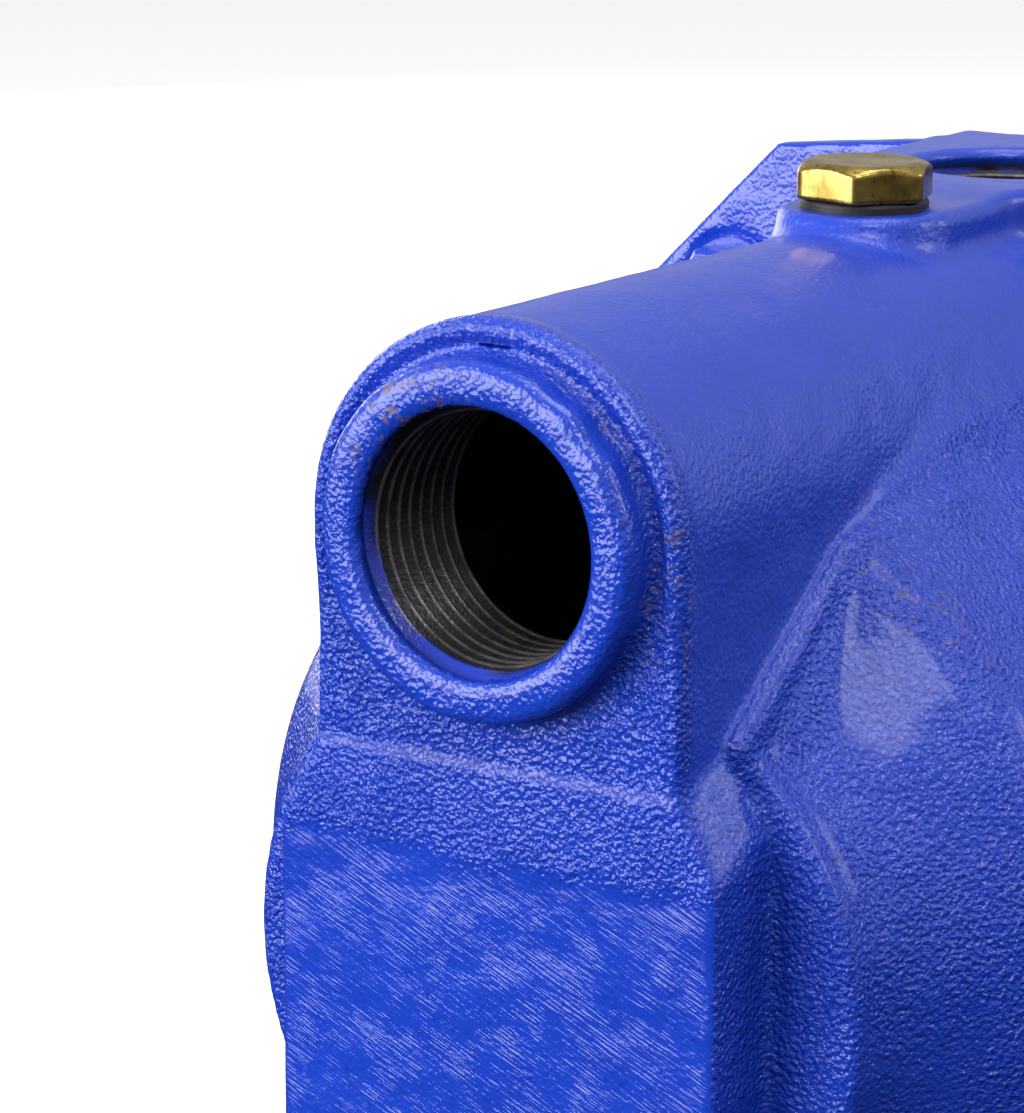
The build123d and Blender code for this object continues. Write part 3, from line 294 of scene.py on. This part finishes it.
def ring_field(x, y, z):
    """Raised ring of the suction port, its rim uneven as cast, and the rolled lip round the tube's end."""
    around = np.hypot(x, z)
    angle = np.arctan2(z, x)
    chipped = np.exp(-((angle - 0.75) / 0.42) ** 2)
    uneven = 0.07 * np.sin(3 * angle + 1) + 0.06 * np.sin(7 * angle + 2) + 0.05 * np.sin(17 * angle)
    uneven = uneven - chipped * (0.30 + 0.25 * np.sin(19 * angle))
    ring = common(common(around - SUCTION_RING_R - uneven, -y, 1.5), y - 9)
    across = np.where(z > 0, around, np.abs(x))
    fade = 0.09 * np.maximum(-z - 4, 0)
    lip = np.hypot(across - 24.4, y - 6.1) - 1.6 + fade
    groove = np.hypot(across - 22.7, y - 4.7) - 0.8 + fade
    return ring, lip, groove


def water_spaces(x, y, z, radius):
    """Everything hollow inside the casting."""
    dome = slope(y, radius, 25, 36, -17.5, 21)
    barrel = common(dome, slope(y, radius, 46, 53.5, -7.5, 46))
    barrel = common(common(barrel, radius - 66), span(y, 25, BODY_DEPTH + 5))
    barrel = join(barrel, common(radius - 70, FLANGE_FRONT + 2 - y))
    around = np.hypot(x, z)
    suction = common(around - 20.3, span(y, 20, 62), 2.0)
    priming = common(around - 20.0, span(y, 70, 156), 2.0)
    drop = common(common(np.abs(x) - 15, span(z, -40, 0)), span(y, 72, 150), 2.0)
    return join(join(barrel, suction), join(priming, drop))


def body_field(grid):
    """Whole casting."""
    x, y, z = grid.x, grid.y - FACE_Y, grid.z - PORT_Z
    radius = np.hypot(x, z + DROP)
    ring, lip, groove = ring_field(x, y, z)
    shape = join(front_field(x, y, z), lip, 0.8)
    # the tube's fillet on the drum widens under the ledges and behind the shoulder
    under = np.clip((ledge_height(np.abs(x), y) - z - 2) / 8, 0, 1) * np.clip((y - 19) / 10, 0, 1)
    fillet = 1.8 + 4.5 * under + 2.0 * np.clip((y - 43) / 8, 0, 1)
    shape = join(shape, drum_field(y, radius), fillet)
    shape = join(shape, flange_field(x, y, z), 1.5)
    shape = join(shape, discharge_field(x, y, z), 1.5)
    shape = cut(shape, groove, 0.5)
    shape = join(shape, ring, 1.0)
    drain = common(np.hypot(x, z + DROP + DRAIN_DROP) - 10.5, span(y, 3, 9), 1.0)
    shape = join(shape, drain, 1.5)
    # hollows, then the walls of the ejector's housing
    shape = cut(shape, water_spaces(x, y, z, radius))
    housing = common(common(np.abs(x) - 25, span(z + DROP, -26, 38)), span(y, 22, 58))
    shape = join(shape, housing, 2.0)
    passage = common(common(np.abs(x) - 17, span(z + DROP, 0, 50)), span(y, 30, 52))
    passage = join(passage, common(radius - 17, span(y, 30, 52)))
    pressure = common(common(np.abs(x) - 17, span(z + DROP, -40, 17)), span(y, 11.2, 22))
    channel = common(common(np.abs(x) - 12, span(z + DROP, -40, -28)), span(y, 20, 40))
    seats = join(common(radius - 11, span(y, 21, 31)), common(radius - 12, span(y, 51, 59)))
    for hollow in (passage, pressure, channel, seats):
        shape = cut(shape, hollow, 0.6)
    # ports: a rounded mouth, then the thread's root wall
    for around, from_face in ((np.hypot(x, z), y), (np.hypot(x, y - DISCHARGE_DEPTH), PAD_TOP - z)):
        mouth = common(around - MOUTH_R, from_face - 2.2)
        shape = cut(shape, mouth, 1.7)
        wall = common(around - PORT_R - 0.15, span(from_face, 1.9, 20.2))
        shape = cut(shape, wall)
    shape = cut(shape, common(np.hypot(x, y - PLUG_DEPTH) - PLUG_HOLE_R, 10 - z))
    shape = cut(shape, common(np.hypot(x, z + DROP + DRAIN_DROP) - PLUG_HOLE_R, y - 12))
    # flange bolts: clearance holes and shallow spot faces
    for side_x in (-BOLT_X, BOLT_X):
        for side_z in (-BOLT_Z, BOLT_Z):
            bolt = np.hypot(x - side_x, z + DROP - side_z)
            shape = cut(shape, common(bolt - BOLT_HOLE_R, FLANGE_FRONT - 5 - y))
            shape = cut(shape, common(bolt - SPOT_FACE_R, span(y, 148, FLANGE_FRONT + 0.3)), 0.5)
    return shape


def pump_casting():
    """Pump body as cast: the field's mesh with a slightly wavy skin."""
    step = 0.7
    low = np.array(BODY_LOW) / MM - 1.5
    high = np.array(BODY_HIGH) / MM + 1.5
    grid = Grid(low, high, step)
    points, quads = surface_nets(body_field(grid), grid)
    normals = vertex_normals(points, quads)
    outer = np.clip((points[:, 1] - FACE_Y) / 6.0, 0.25, 1.0)
    wave = 0.05 * lumps(points, 9.0, 3) + 0.025 * lumps(points, 3.5, 4)
    points = points + normals * (wave * outer)[:, None]
    points = np.clip(points, np.array(BODY_LOW) / MM, np.array(BODY_HIGH) / MM)
    piece = mesh_object("pump_casting", points, quads)
    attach(piece, "casing")
    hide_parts("pump_body")
    return piece


# ---- pipe threads ---------------------------------------------------------------------
THREAD_PITCH = 2.309
THREAD_TURNS = 8
CREST_R = 15.2
ROOT_R = PORT_R
RIDGE_FOOT_R = ROOT_R + 0.12   # the ridge's base, sunk a little in the bore's wall
THREAD_START = 1.4             # depth of the first turn behind the port's face
AROUND = 96                    # points round one turn


def thread_piece(name, origin, inward):
    """Internal pipe thread: one ridge wound down the bore. Origin in millimetres, inward a unit vector."""
    inward = Vector(inward)
    right = Vector((1, 0, 0))
    up = inward.cross(right)
    profile = [(-0.5, RIDGE_FOOT_R), (-0.34, ROOT_R - 0.1), (-0.1, CREST_R + 0.15), (0.0, CREST_R),
               (0.1, CREST_R + 0.15), (0.34, ROOT_R - 0.1), (0.5, RIDGE_FOOT_R)]
    rows = AROUND * THREAD_TURNS
    points = []
    for i in range(rows + 1):
        angle = 2 * math.pi * i / AROUND
        rise = min(1.0, i / (AROUND * 0.25), (rows - i) / (AROUND * 0.25))
        for shift, radius in profile:
            radius = RIDGE_FOOT_R - (RIDGE_FOOT_R - radius) * rise
            depth = THREAD_START + THREAD_PITCH * (i / AROUND + 0.5 + shift)
            way = right * math.cos(angle) + up * math.sin(angle)
            points.append(Vector(origin) + inward * depth + way * radius)
    width = len(profile)
    faces = [(i * width + j, i * width + j + 1, (i + 1) * width + j + 1, (i + 1) * width + j)
             for i in range(rows) for j in range(width - 1)]
    back = [(i * width + width - 1, i * width, (i + 1) * width, (i + 1) * width + width - 1)
            for i in range(rows)]
    piece = mesh_object(name, points, np.array(faces + back))
    mesh = piece.data
    caps = [[*range(width)][::-1], [rows * width + j for j in range(width)]]
    edit = bmesh.new()
    edit.from_mesh(mesh)
    edit.verts.ensure_lookup_table()
    for cap in caps:
        edit.faces.new([edit.verts[i] for i in cap])
    bmesh.ops.recalc_face_normals(edit, faces=edit.faces)
    edit.to_mesh(mesh)
    edit.free()
    mesh.shade_smooth()
    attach(piece, "casing")
    return piece


# ---- hexagon plugs --------------------------------------------------------------------
PLUG_PITCH = 1.337
PLUG_THREAD_R = 6.5
PLUG_HEAD = 5.0
PLUG_HALF_FLATS = 8.5
PLUG_CORNER_R = 9.55
PLUG_CROWN_R = 7.6         # where the turned crown starts
DISH_R = 55.25             # shallow dish left by turning the head's top
FILLER_SHANK = 8.0
DRAIN_SHANK = 7.0
SEAL_THICK = 1.4


def plug_piece(node, base, axes, turn):
    """Hexagon plug with worn corners, a turned crown and a cut shank, over its seal.

    The base is in millimetres; axes are two unit vectors across the plug and one out along it.
    """
    top = SEAL_THICK + PLUG_HEAD
    grid = Grid((-10.2, -10.2, -8.6), (10.2, 10.2, top + 0.6), 0.2)
    x, y, z = grid.x, grid.y, grid.z
    around = np.hypot(x, y)
    head = span(z, SEAL_THICK, top)
    for side in range(3):
        angle = math.radians(turn + 30 + 60 * side)
        flat = np.abs(x * math.cos(angle) + y * math.sin(angle)) - PLUG_HALF_FLATS
        head = common(head, flat, 0.45)
    head = common(head, slope(z, around, top, PLUG_CROWN_R, 0.87, 0.5), 0.35)
    head = common(head, around - PLUG_CORNER_R, 0.3)
    head = cut(head, np.hypot(around, z - top - DISH_R + 0.25) - DISH_R, 0.3)
    wind = 2 * math.pi * z / PLUG_PITCH - np.arctan2(y, x)
    thread = around - PLUG_THREAD_R + 0.38 * (0.5 + 0.5 * np.cos(wind))
    shank = common(thread, span(z, -FILLER_SHANK, SEAL_THICK + 1))
    points, quads = surface_nets(join(head, shank, 0.2), grid)
    across, along, out = (np.array(a, float) for a in axes)
    placed = np.array(base) + points[:, :1] * across + points[:, 1:2] * along + points[:, 2:] * out
    if np.dot(np.cross(across, along), out) < 0:
        quads = quads[:, ::-1]
    low, high = (np.array(corner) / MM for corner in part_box(node))
    piece = mesh_object(node + "_turned", np.clip(placed, low, high), quads)
    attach(piece, node)
    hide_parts(node)
    return piece


# ---- materials ------------------------------------------------------------------------
class Shader:
    """Small helper that writes a material's nodes from the leaves to the surface."""

    def __init__(self, name):
        self.material = bpy.data.materials.new(name)
        self.material.use_nodes = True
        self.tree = self.material.node_tree
        self.tree.nodes.clear()
        self.place = self.node("ShaderNodeTexCoord").outputs["Object"]

    def node(self, kind, inputs=None, **settings):
        made = self.tree.nodes.new(kind)
        for key, value in settings.items():
            setattr(made, key, value)
        for key, value in (inputs or {}).items():
            self.feed(made.inputs[key], value)
        return made

    def feed(self, socket, value):
        if isinstance(value, bpy.types.NodeSocket):
            self.tree.links.new(value, socket)
        else:
            socket.default_value = value

    def math(self, operation, a, b=0.0):
        return self.node("ShaderNodeMath", {0: a, 1: b}, operation=operation).outputs[0]

    def times(self, a, b):
        return self.math("MULTIPLY", a, b)

    def plus(self, a, b):
        return self.math("ADD", a, b)

    def axes(self, place=None):
        made = self.node("ShaderNodeSeparateXYZ", {0: place or self.place})
        return made.outputs[0], made.outputs[1], made.outputs[2]

    def stretched(self, scale, rotation=(0, 0, 0)):
        """Place turned by a rotation, then drawn out along its own axes by the scale."""
        made = self.node("ShaderNodeMapping", {"Vector": self.place, "Scale": scale, "Rotation": rotation},
                         vector_type="TEXTURE")
        return made.outputs[0]

    def noise(self, size_mm, detail=2.0, rough=0.5, place=None):
        made = self.node("ShaderNodeTexNoise", {"Vector": place or self.place, "Scale": 1000.0 / size_mm,
                                                "Detail": detail, "Roughness": rough})
        return made.outputs["Fac"]

    def cells(self, size_mm, smooth):
        """Distance from the nearest of many scattered points, its creases smoothed."""
        made = self.node("ShaderNodeTexVoronoi", {"Vector": self.place, "Scale": 1000.0 / size_mm},
                         feature="SMOOTH_F1")
        made.inputs["Smoothness"].default_value = smooth
        return made.outputs["Distance"]

    def step(self, value, low, high, to_low=0.0, to_high=1.0):
        """Smooth change from to_low to to_high as value goes from low to high."""
        made = self.node("ShaderNodeMapRange", {"Value": value, "From Min": low, "From Max": high,
                                                "To Min": to_low, "To Max": to_high},
                         interpolation_type="SMOOTHSTEP")
        return made.outputs[0]

    def mix(self, share, a, b):
        made = self.node("ShaderNodeMix", {0: share, 6: a, 7: b}, data_type="RGBA")
        return made.outputs[2]

    def blend(self, share, a, b):
        made = self.node("ShaderNodeMix", {0: share, 2: a, 3: b}, data_type="FLOAT")
        return made.outputs[0]

    def bump(self, height, depth_mm):
        inputs = {"Height": height, "Distance": depth_mm * MM, "Strength": 1.0}
        return self.node("ShaderNodeBump", inputs).outputs[0]

    def surface(self, **values):
        """Principled surface; underscores in the keywords stand for spaces."""
        inputs = {key.replace("_", " "): value for key, value in values.items()}
        made = self.node("ShaderNodeBsdfPrincipled", inputs)
        out = self.node("ShaderNodeOutputMaterial")
        self.tree.links.new(made.outputs[0], out.inputs[0])
        return self.material


def rgb(red, green, blue):
    """Colour socket value from display values of 0 to 255."""
    def linear(v):
        v = v / 255
        return v / 12.92 if v <= 0.04045 else ((v + 0.055) / 1.055) ** 2.4
    return (linear(red), linear(green), linear(blue), 1.0)


def length(s, a, b):
    """Distance of (a, b) from the origin."""
    return s.math("SQRT", s.plus(s.times(a, a), s.times(b, b)))


def below(s, value, limit_mm, soft_mm=0.3):
    """1 where a value in metres is under a limit."""
    return s.step(value, (limit_mm + soft_mm) * MM, limit_mm * MM)


def above(s, value, limit_mm, soft_mm=0.3):
    """1 where a value in metres is over a limit."""
    return s.step(value, limit_mm * MM, (limit_mm + soft_mm) * MM)


def port_distances(s, x, y, z):
    """Distances from the two port axes, and how far below the discharge pad."""
    drop = s.math("SUBTRACT", z, PORT_Z * MM)
    back = s.math("SUBTRACT", y, (FACE_Y + DISCHARGE_DEPTH) * MM)
    sunk = s.math("SUBTRACT", (PORT_Z + PAD_TOP) * MM, z)
    return length(s, x, drop), length(s, x, back), sunk


def bore_mask(s, x, y, z):
    """1 inside the pump, where the iron is bare: its ports, its chambers and the drum."""
    front, top, sunk = port_distances(s, x, y, z)
    depth = s.math("SUBTRACT", y, FACE_Y * MM)
    drop = s.math("SUBTRACT", z, PORT_Z * MM)
    inside = s.times(below(s, front, 17.1), above(s, depth, 1.9, 0.7))
    inside_top = s.times(below(s, top, 17.1), above(s, sunk, 1.9, 0.7))
    deep = s.times(below(s, front, 20.4), above(s, depth, 19.5))
    width = s.math("ABSOLUTE", x)
    within = s.times(above(s, depth, 23), below(s, depth, BODY_DEPTH - 1))
    passage = s.times(s.times(below(s, width, 20.4), within),
                      s.times(below(s, drop, 8), above(s, drop, -110)))
    reach = length(s, x, s.plus(drop, DROP * MM))
    drum = s.times(s.times(below(s, reach, 57), above(s, depth, 46)), within)
    found = inside
    for part in (inside_top, deep, passage, drum):
        found = s.math("MAXIMUM", found, part)
    return found


def cast_paint():
    """Thick gloss paint brushed over rough cast iron."""
    s = Shader("cast_paint")
    x, y, z = s.axes()
    drop = s.math("SUBTRACT", z, PORT_Z * MM)
    depth = s.math("SUBTRACT", y, FACE_Y * MM)
    facing = s.axes(s.node("ShaderNodeNewGeometry").outputs["Normal"])
    faces_front = s.step(facing[1], -0.80, -0.95)
    # masks: ground lower front, suction tube's skin, suction ring, and the smoother casting far back
    line = s.plus(drop, s.times(s.math("SUBTRACT", s.noise(8, 2.0), 0.5), 5 * MM))
    ground = s.times(s.step(line, -37.5 * MM, -41.5 * MM), faces_front)
    ground = s.times(ground, s.step(depth, 8 * MM, 6.5 * MM))
    tube = s.times(below(s, s.math("ABSOLUTE", x), TUBE_R + 0.4, 0.8), s.step(depth, 7 * MM, 9 * MM))
    ring = s.step(depth, 4.8 * MM, 3.6 * MM)
    far = s.step(depth, 60 * MM, 120 * MM)
    bare = bore_mask(s, x, y, z)
    # relief of the sand skin under the paint
    pebble = s.plus(s.times(s.cells(0.72, smooth=0.7), 0.60), s.times(s.noise(0.60, 1.0), 0.90))
    share = s.blend(ground, 1.0, 0.10)
    share = s.blend(tube, share, 0.36)
    share = s.blend(ring, share, 0.42)
    share = s.times(share, s.blend(far, 1.0, 0.30))
    pebble = s.times(pebble, s.times(share, s.step(s.noise(18, 2.0), 0.36, 0.6, 0.6, 1.0)))
    # grinding marks: fine streaks in small patches, falling to the right
    marks = s.noise(0.32, 1.0, place=s.stretched((12.0, 1.0, 1.0), (0, math.radians(24), 0)))
    patch = s.step(s.noise(6.0, 2.0), 0.38, 0.64, 0.10, 0.26)
    marks = s.times(marks, s.times(ground, patch))
    waves = s.times(s.noise(7.0, 1.0), 0.9)
    bump = s.bump(s.plus(s.plus(pebble, marks), waves), 0.64)
    # colour: blue, brown dust in the pits near the port and the ridges, dark iron where machined
    blue = s.mix(s.noise(26, 3.0), rgb(21, 57, 180), rgb(28, 68, 199))
    blue = s.mix(s.step(s.noise(1.1, 2.0), 0.60, 0.72, 0.0, 0.35), blue, rgb(10, 38, 140))
    specks = s.step(s.noise(1.7, 3.0, 0.75), 0.53, 0.68)
    left = s.plus(x, 9 * MM)
    high = s.math("SUBTRACT", drop, 13 * MM)
    near_left = s.times(s.step(length(s, left, high), 13 * MM, 4 * MM), s.step(depth, 3 * MM, 1 * MM))
    right = s.math("SUBTRACT", x, 22 * MM)
    near_right = s.times(s.step(length(s, right, s.plus(drop, 3 * MM)), 15 * MM, 5 * MM),
                         s.times(s.step(depth, 2.5 * MM, 4 * MM), s.step(depth, 9 * MM, 7 * MM)))
    back = s.times(s.step(s.math("ABSOLUTE", s.math("SUBTRACT", depth, 44 * MM)), 7 * MM, 2 * MM),
                   s.step(s.math("ABSOLUTE", s.plus(drop, 8 * MM)), 14 * MM, 5 * MM))
    places = s.plus(s.plus(s.times(near_left, 0.85), s.times(near_right, 0.45)), s.times(back, 0.4))
    dust = s.times(specks, places)
    colour = s.mix(dust, blue, rgb(122, 96, 62))
    iron = s.mix(s.noise(2.0, 3.0), rgb(14, 14, 18), rgb(34, 32, 35))
    colour = s.mix(bare, colour, iron)
    gloss = s.plus(s.blend(s.noise(10, 2.0), 0.15, 0.23), s.times(dust, 0.4))
    gloss = s.blend(tube, gloss, 0.38)
    gloss = s.blend(bare, gloss, 0.5)
    return s.surface(Base_Color=colour, Roughness=gloss, Normal=bump, Specular_IOR_Level=0.5,
                     Coat_Weight=0.25, Coat_Roughness=0.12)


def thread_iron():
    """Cut thread: dark oiled iron, its crests lighter, partly as wear and partly as a painted highlight, with
    paint run over its first turn.
    """
    s = Shader("thread_iron")
    x, y, z = s.axes()
    front, top, sunk = port_distances(s, x, y, z)
    rear = s.step(y, (FACE_Y + 60) * MM, (FACE_Y + 61) * MM)
    around = s.blend(rear, front, top)
    depth = s.math("MINIMUM", s.math("SUBTRACT", y, FACE_Y * MM), sunk)
    edge = s.plus(depth, s.times(s.noise(6, 2.0), 2.6 * MM))
    painted = s.step(edge, 4.9 * MM, 3.9 * MM)
    iron = s.mix(s.noise(1.6, 3.0), rgb(20, 20, 26), rgb(48, 46, 52))
    # crests lightened: partly worn bright, partly a painted highlight along each crest
    worn_crest_highlight = s.times(s.step(around, 15.65 * MM, 15.30 * MM), s.step(s.noise(3.0, 3.0), 0.3, 0.6, 0.3, 0.9))
    iron = s.mix(worn_crest_highlight, iron, rgb(116, 110, 114))
    iron = s.mix(s.step(s.noise(4.0, 3.0), 0.62, 0.76, 0, 0.4), iron, rgb(92, 74, 50))
    colour = s.mix(painted, iron, rgb(28, 56, 178))
    bump = s.bump(s.noise(0.5, 2.0), 0.08)
    return s.surface(Base_Color=colour, Metallic=s.blend(painted, 0.6, 0.0), Normal=bump,
                     Roughness=s.blend(painted, 0.36, 0.2))


def thin_paint(name="housing_paint"):
    """The same gloss blue over smoother die-cast aluminium."""
    s = Shader(name)
    blue = s.mix(s.noise(26, 3.0), rgb(21, 57, 180), rgb(28, 68, 199))
    skin = s.plus(s.noise(1.4, 2.0), s.times(s.noise(8, 1.0), 1.5))
    return s.surface(Base_Color=blue, Roughness=s.blend(s.noise(10, 2.0), 0.18, 0.28),
                     Normal=s.bump(skin, 0.10), Specular_IOR_Level=0.55)


def old_brass():
    """Turned brass gone olive, brighter where it was handled."""
    s = Shader("old_brass")
    tone = s.mix(s.step(s.noise(4.0, 3.0, 0.6), 0.35, 0.7), rgb(140, 118, 62), rgb(186, 160, 88))
    tone = s.mix(s.step(s.noise(1.3, 2.0), 0.62, 0.75), tone, rgb(104, 84, 44))
    marks = s.noise(0.5, 2.0, place=s.stretched((1.0, 1.0, 4.0)))
    rough = s.blend(s.noise(2.5, 3.0), 0.20, 0.36)
    return s.surface(Base_Color=tone, Metallic=1.0, Roughness=rough, Normal=s.bump(marks, 0.03))


def metal(name, dark, bright, rough, grain_mm=0.6, stretch=(1, 1, 1), depth_mm=0.02):
    """Plain metal with a fine grain."""
    s = Shader(name)
    tone = s.mix(s.noise(grain_mm * 8, 3.0), dark, bright)
    marks = s.noise(grain_mm, 2.0, place=s.stretched(tuple(1 / share for share in stretch)))
    return s.surface(Base_Color=tone, Metallic=1.0, Roughness=s.blend(s.noise(3.0, 2.0), rough, rough + 0.14),
                     Normal=s.bump(marks, depth_mm))


def dull(name, dark, bright, rough, grain_mm=0.8, depth_mm=0.04, specular=0.5):
    """Plastic, rubber, carbon or ceramic with a moulded or lapped skin."""
    s = Shader(name)
    tone = s.mix(s.noise(grain_mm * 10, 3.0), dark, bright)
    return s.surface(Base_Color=tone, Roughness=s.blend(s.noise(4.0, 2.0), rough, rough + 0.12),
                     Normal=s.bump(s.noise(grain_mm, 2.0), depth_mm), Specular_IOR_Level=specular)


def finishes():
    """One material for each of the record's slots."""
    return {
        "blue_cast": cast_paint(),
        "blue_aluminium": thin_paint(),
        "blue_steel": thin_paint("bolt_paint"),
        "brass": old_brass(),
        "rubber": dull("black_rubber", rgb(12, 12, 14), rgb(24, 24, 26), 0.5),
        "filled_plastic": dull("glass_filled_plastic", rgb(38, 38, 42), rgb(58, 58, 62), 0.4),
        "stainless": metal("stainless", rgb(168, 168, 170), rgb(205, 205, 207), 0.24),
        "carbon": dull("carbon", rgb(30, 30, 33), rgb(48, 48, 52), 0.3),
        "ceramic": dull("ceramic", rgb(225, 220, 205), rgb(238, 234, 222), 0.2, 1.2, 0.01),
        "zinc_steel": metal("zinc_steel", rgb(150, 152, 155), rgb(205, 205, 200), 0.28),
        "lamination": metal("lamination", rgb(70, 70, 74), rgb(110, 110, 112), 0.4, 0.5, (1, 20, 1)),
        "aluminium": metal("plain_aluminium", rgb(180, 180, 184), rgb(215, 215, 218), 0.32),
        "copper": metal("enamelled_copper", rgb(150, 66, 30), rgb(196, 98, 50), 0.25, 0.8, (1, 0.1, 1), 0.1),
        "bearing_steel": metal("bearing_steel", rgb(170, 172, 176), rgb(210, 212, 215), 0.12),
        "black_plastic": dull("black_plastic", rgb(22, 22, 24), rgb(36, 36, 38), 0.35, 0.6, 0.05),
        "white_plastic": dull("white_plastic", rgb(220, 220, 216), rgb(235, 235, 232), 0.35),
    }


def dress(piece, material):
    """Give a piece, or a node of the frame, this one material."""
    if not piece.material_slots:
        piece.data.materials.append(material)
    for slot in piece.material_slots:
        slot.material = material


# ---- stage ----------------------------------------------------------------------------
VIEW_PLACE = (0.24347, -0.5933, 0.25226)
VIEW_LENS = 125.92


def camera():
    """Close view from the right of the suction port, a little above it."""
    azimuth, pitch, roll = math.radians(33.16), math.radians(13.31), math.radians(0.25)
    right = Vector((math.cos(azimuth), math.sin(azimuth), 0))
    level = math.cos(pitch)
    ahead = Vector((-math.sin(azimuth) * level, math.cos(azimuth) * level, -math.sin(pitch)))
    up = right.cross(ahead)
    rolled_right = right * math.cos(roll) + up * math.sin(roll)
    rolled_up = up * math.cos(roll) - right * math.sin(roll)
    data = bpy.data.cameras.new("view")
    data.sensor_width = 36
    data.lens = VIEW_LENS
    data.clip_start = 0.01
    seen = bpy.data.objects.new("view", data)
    turn = Matrix((rolled_right, rolled_up, -ahead)).transposed().to_4x4()
    seen.matrix_world = Matrix.Translation(VIEW_PLACE) @ turn
    bpy.context.scene.collection.objects.link(seen)
    bpy.context.scene.camera = seen


def softbox(name, place, target, size, power):
    """Area light aimed at a point."""
    data = bpy.data.lights.new(name, "AREA")
    data.shape = "RECTANGLE"
    data.size, data.size_y = size
    data.energy = power
    lamp = bpy.data.objects.new(name, data)
    lamp.location = place
    lamp.rotation_euler = (Vector(target) - Vector(place)).to_track_quat("-Z", "Y").to_euler()
    bpy.context.scene.collection.objects.link(lamp)


def studio():
    """White tent: bright above the horizon, dark below it in reflections, on a pale floor."""
    world = bpy.data.worlds.new("tent")
    world.use_nodes = True
    tree = world.node_tree
    tree.nodes.clear()
    place = tree.nodes.new("ShaderNodeTexCoord")
    split = tree.nodes.new("ShaderNodeSeparateXYZ")
    ramp = tree.nodes.new("ShaderNodeMapRange")
    back = tree.nodes.new("ShaderNodeBackground")
    out = tree.nodes.new("ShaderNodeOutputWorld")
    tree.links.new(place.outputs["Generated"], split.inputs[0])
    tree.links.new(split.outputs[2], ramp.inputs[0])
    ramp.inputs["From Min"].default_value = -0.12
    ramp.inputs["From Max"].default_value = 0.06
    ramp.inputs["To Min"].default_value = 0.04
    ramp.inputs["To Max"].default_value = 0.52
    tree.links.new(ramp.outputs[0], back.inputs[1])
    tree.links.new(back.outputs[0], out.inputs[0])
    back.inputs[0].default_value = (1, 1, 1, 1)
    bpy.context.scene.world = world
    target = (0, -0.15, 0.12)
    softbox("overhead", (0.1, 0.0, 1.5), target, (0.8, 0.8), 7)
    softbox("right_back", (1.3, 0.65, 0.8), target, (0.5, 0.5), 4)
    softbox("right_top", (0.7, -0.8, 1.15), target, (0.45, 0.45), 6)
    softbox("left_back", (-1.4, 0.7, 0.3), target, (0.9, 0.7), 6)
    softbox("front_left", (-0.75, -1.25, 0.36), target, (1.2, 0.9), 23)
    floor_mesh = bpy.data.meshes.new("floor")
    side = 12.0
    floor_mesh.from_pydata([(-side, -side, 0), (side, -side, 0), (side, side, 0), (-side, side, 0)], [],
                           [(0, 1, 2, 3)])
    floor = bpy.data.objects.new("floor", floor_mesh)
    bpy.context.scene.collection.objects.link(floor)
    s = Shader("pale_floor")
    pale = s.mix(s.noise(400, 2.0), (0.93, 0.93, 0.93, 1), (0.95, 0.95, 0.95, 1))
    dress(floor, s.surface(Base_Color=pale, Roughness=0.9, Emission_Color=(1, 1, 1, 1),
                           Emission_Strength=0.35))
    floor.visible_glossy = False
    floor.visible_diffuse = False
    bpy.context.scene.view_settings.view_transform = "Standard"


# ---- making ---------------------------------------------------------------------------
camera()
studio()
materials = finishes()
for node in NODES.values():
    slot_name = node.material_slots[0].material.name.split(".")[0]
    dress(node, materials[slot_name])
dress(pump_casting(), materials["blue_cast"])
cut_iron = thread_iron()
top_port = (0, FACE_Y + DISCHARGE_DEPTH, PORT_Z + PAD_TOP)
dress(thread_piece("suction_thread", (0, FACE_Y, PORT_Z), (0, 1, 0)), cut_iron)
dress(thread_piece("discharge_thread", top_port, (0, 0, -1)), cut_iron)
plug_base = (0, FACE_Y + PLUG_DEPTH, PLUG_LOW.z / MM + FILLER_SHANK)
drain_low, drain_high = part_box("drain_plug")
drain_base = (0, drain_high.y / MM - DRAIN_SHANK, 0.5 * (drain_low.z + drain_high.z) / MM)
dress(plug_piece("filler_plug", plug_base, ((1, 0, 0), (0, 1, 0), (0, 0, 1)), -11.0), materials["brass"])
dress(plug_piece("drain_plug", drain_base, ((1, 0, 0), (0, 0, 1), (0, -1, 0)), 0.0), materials["brass"])
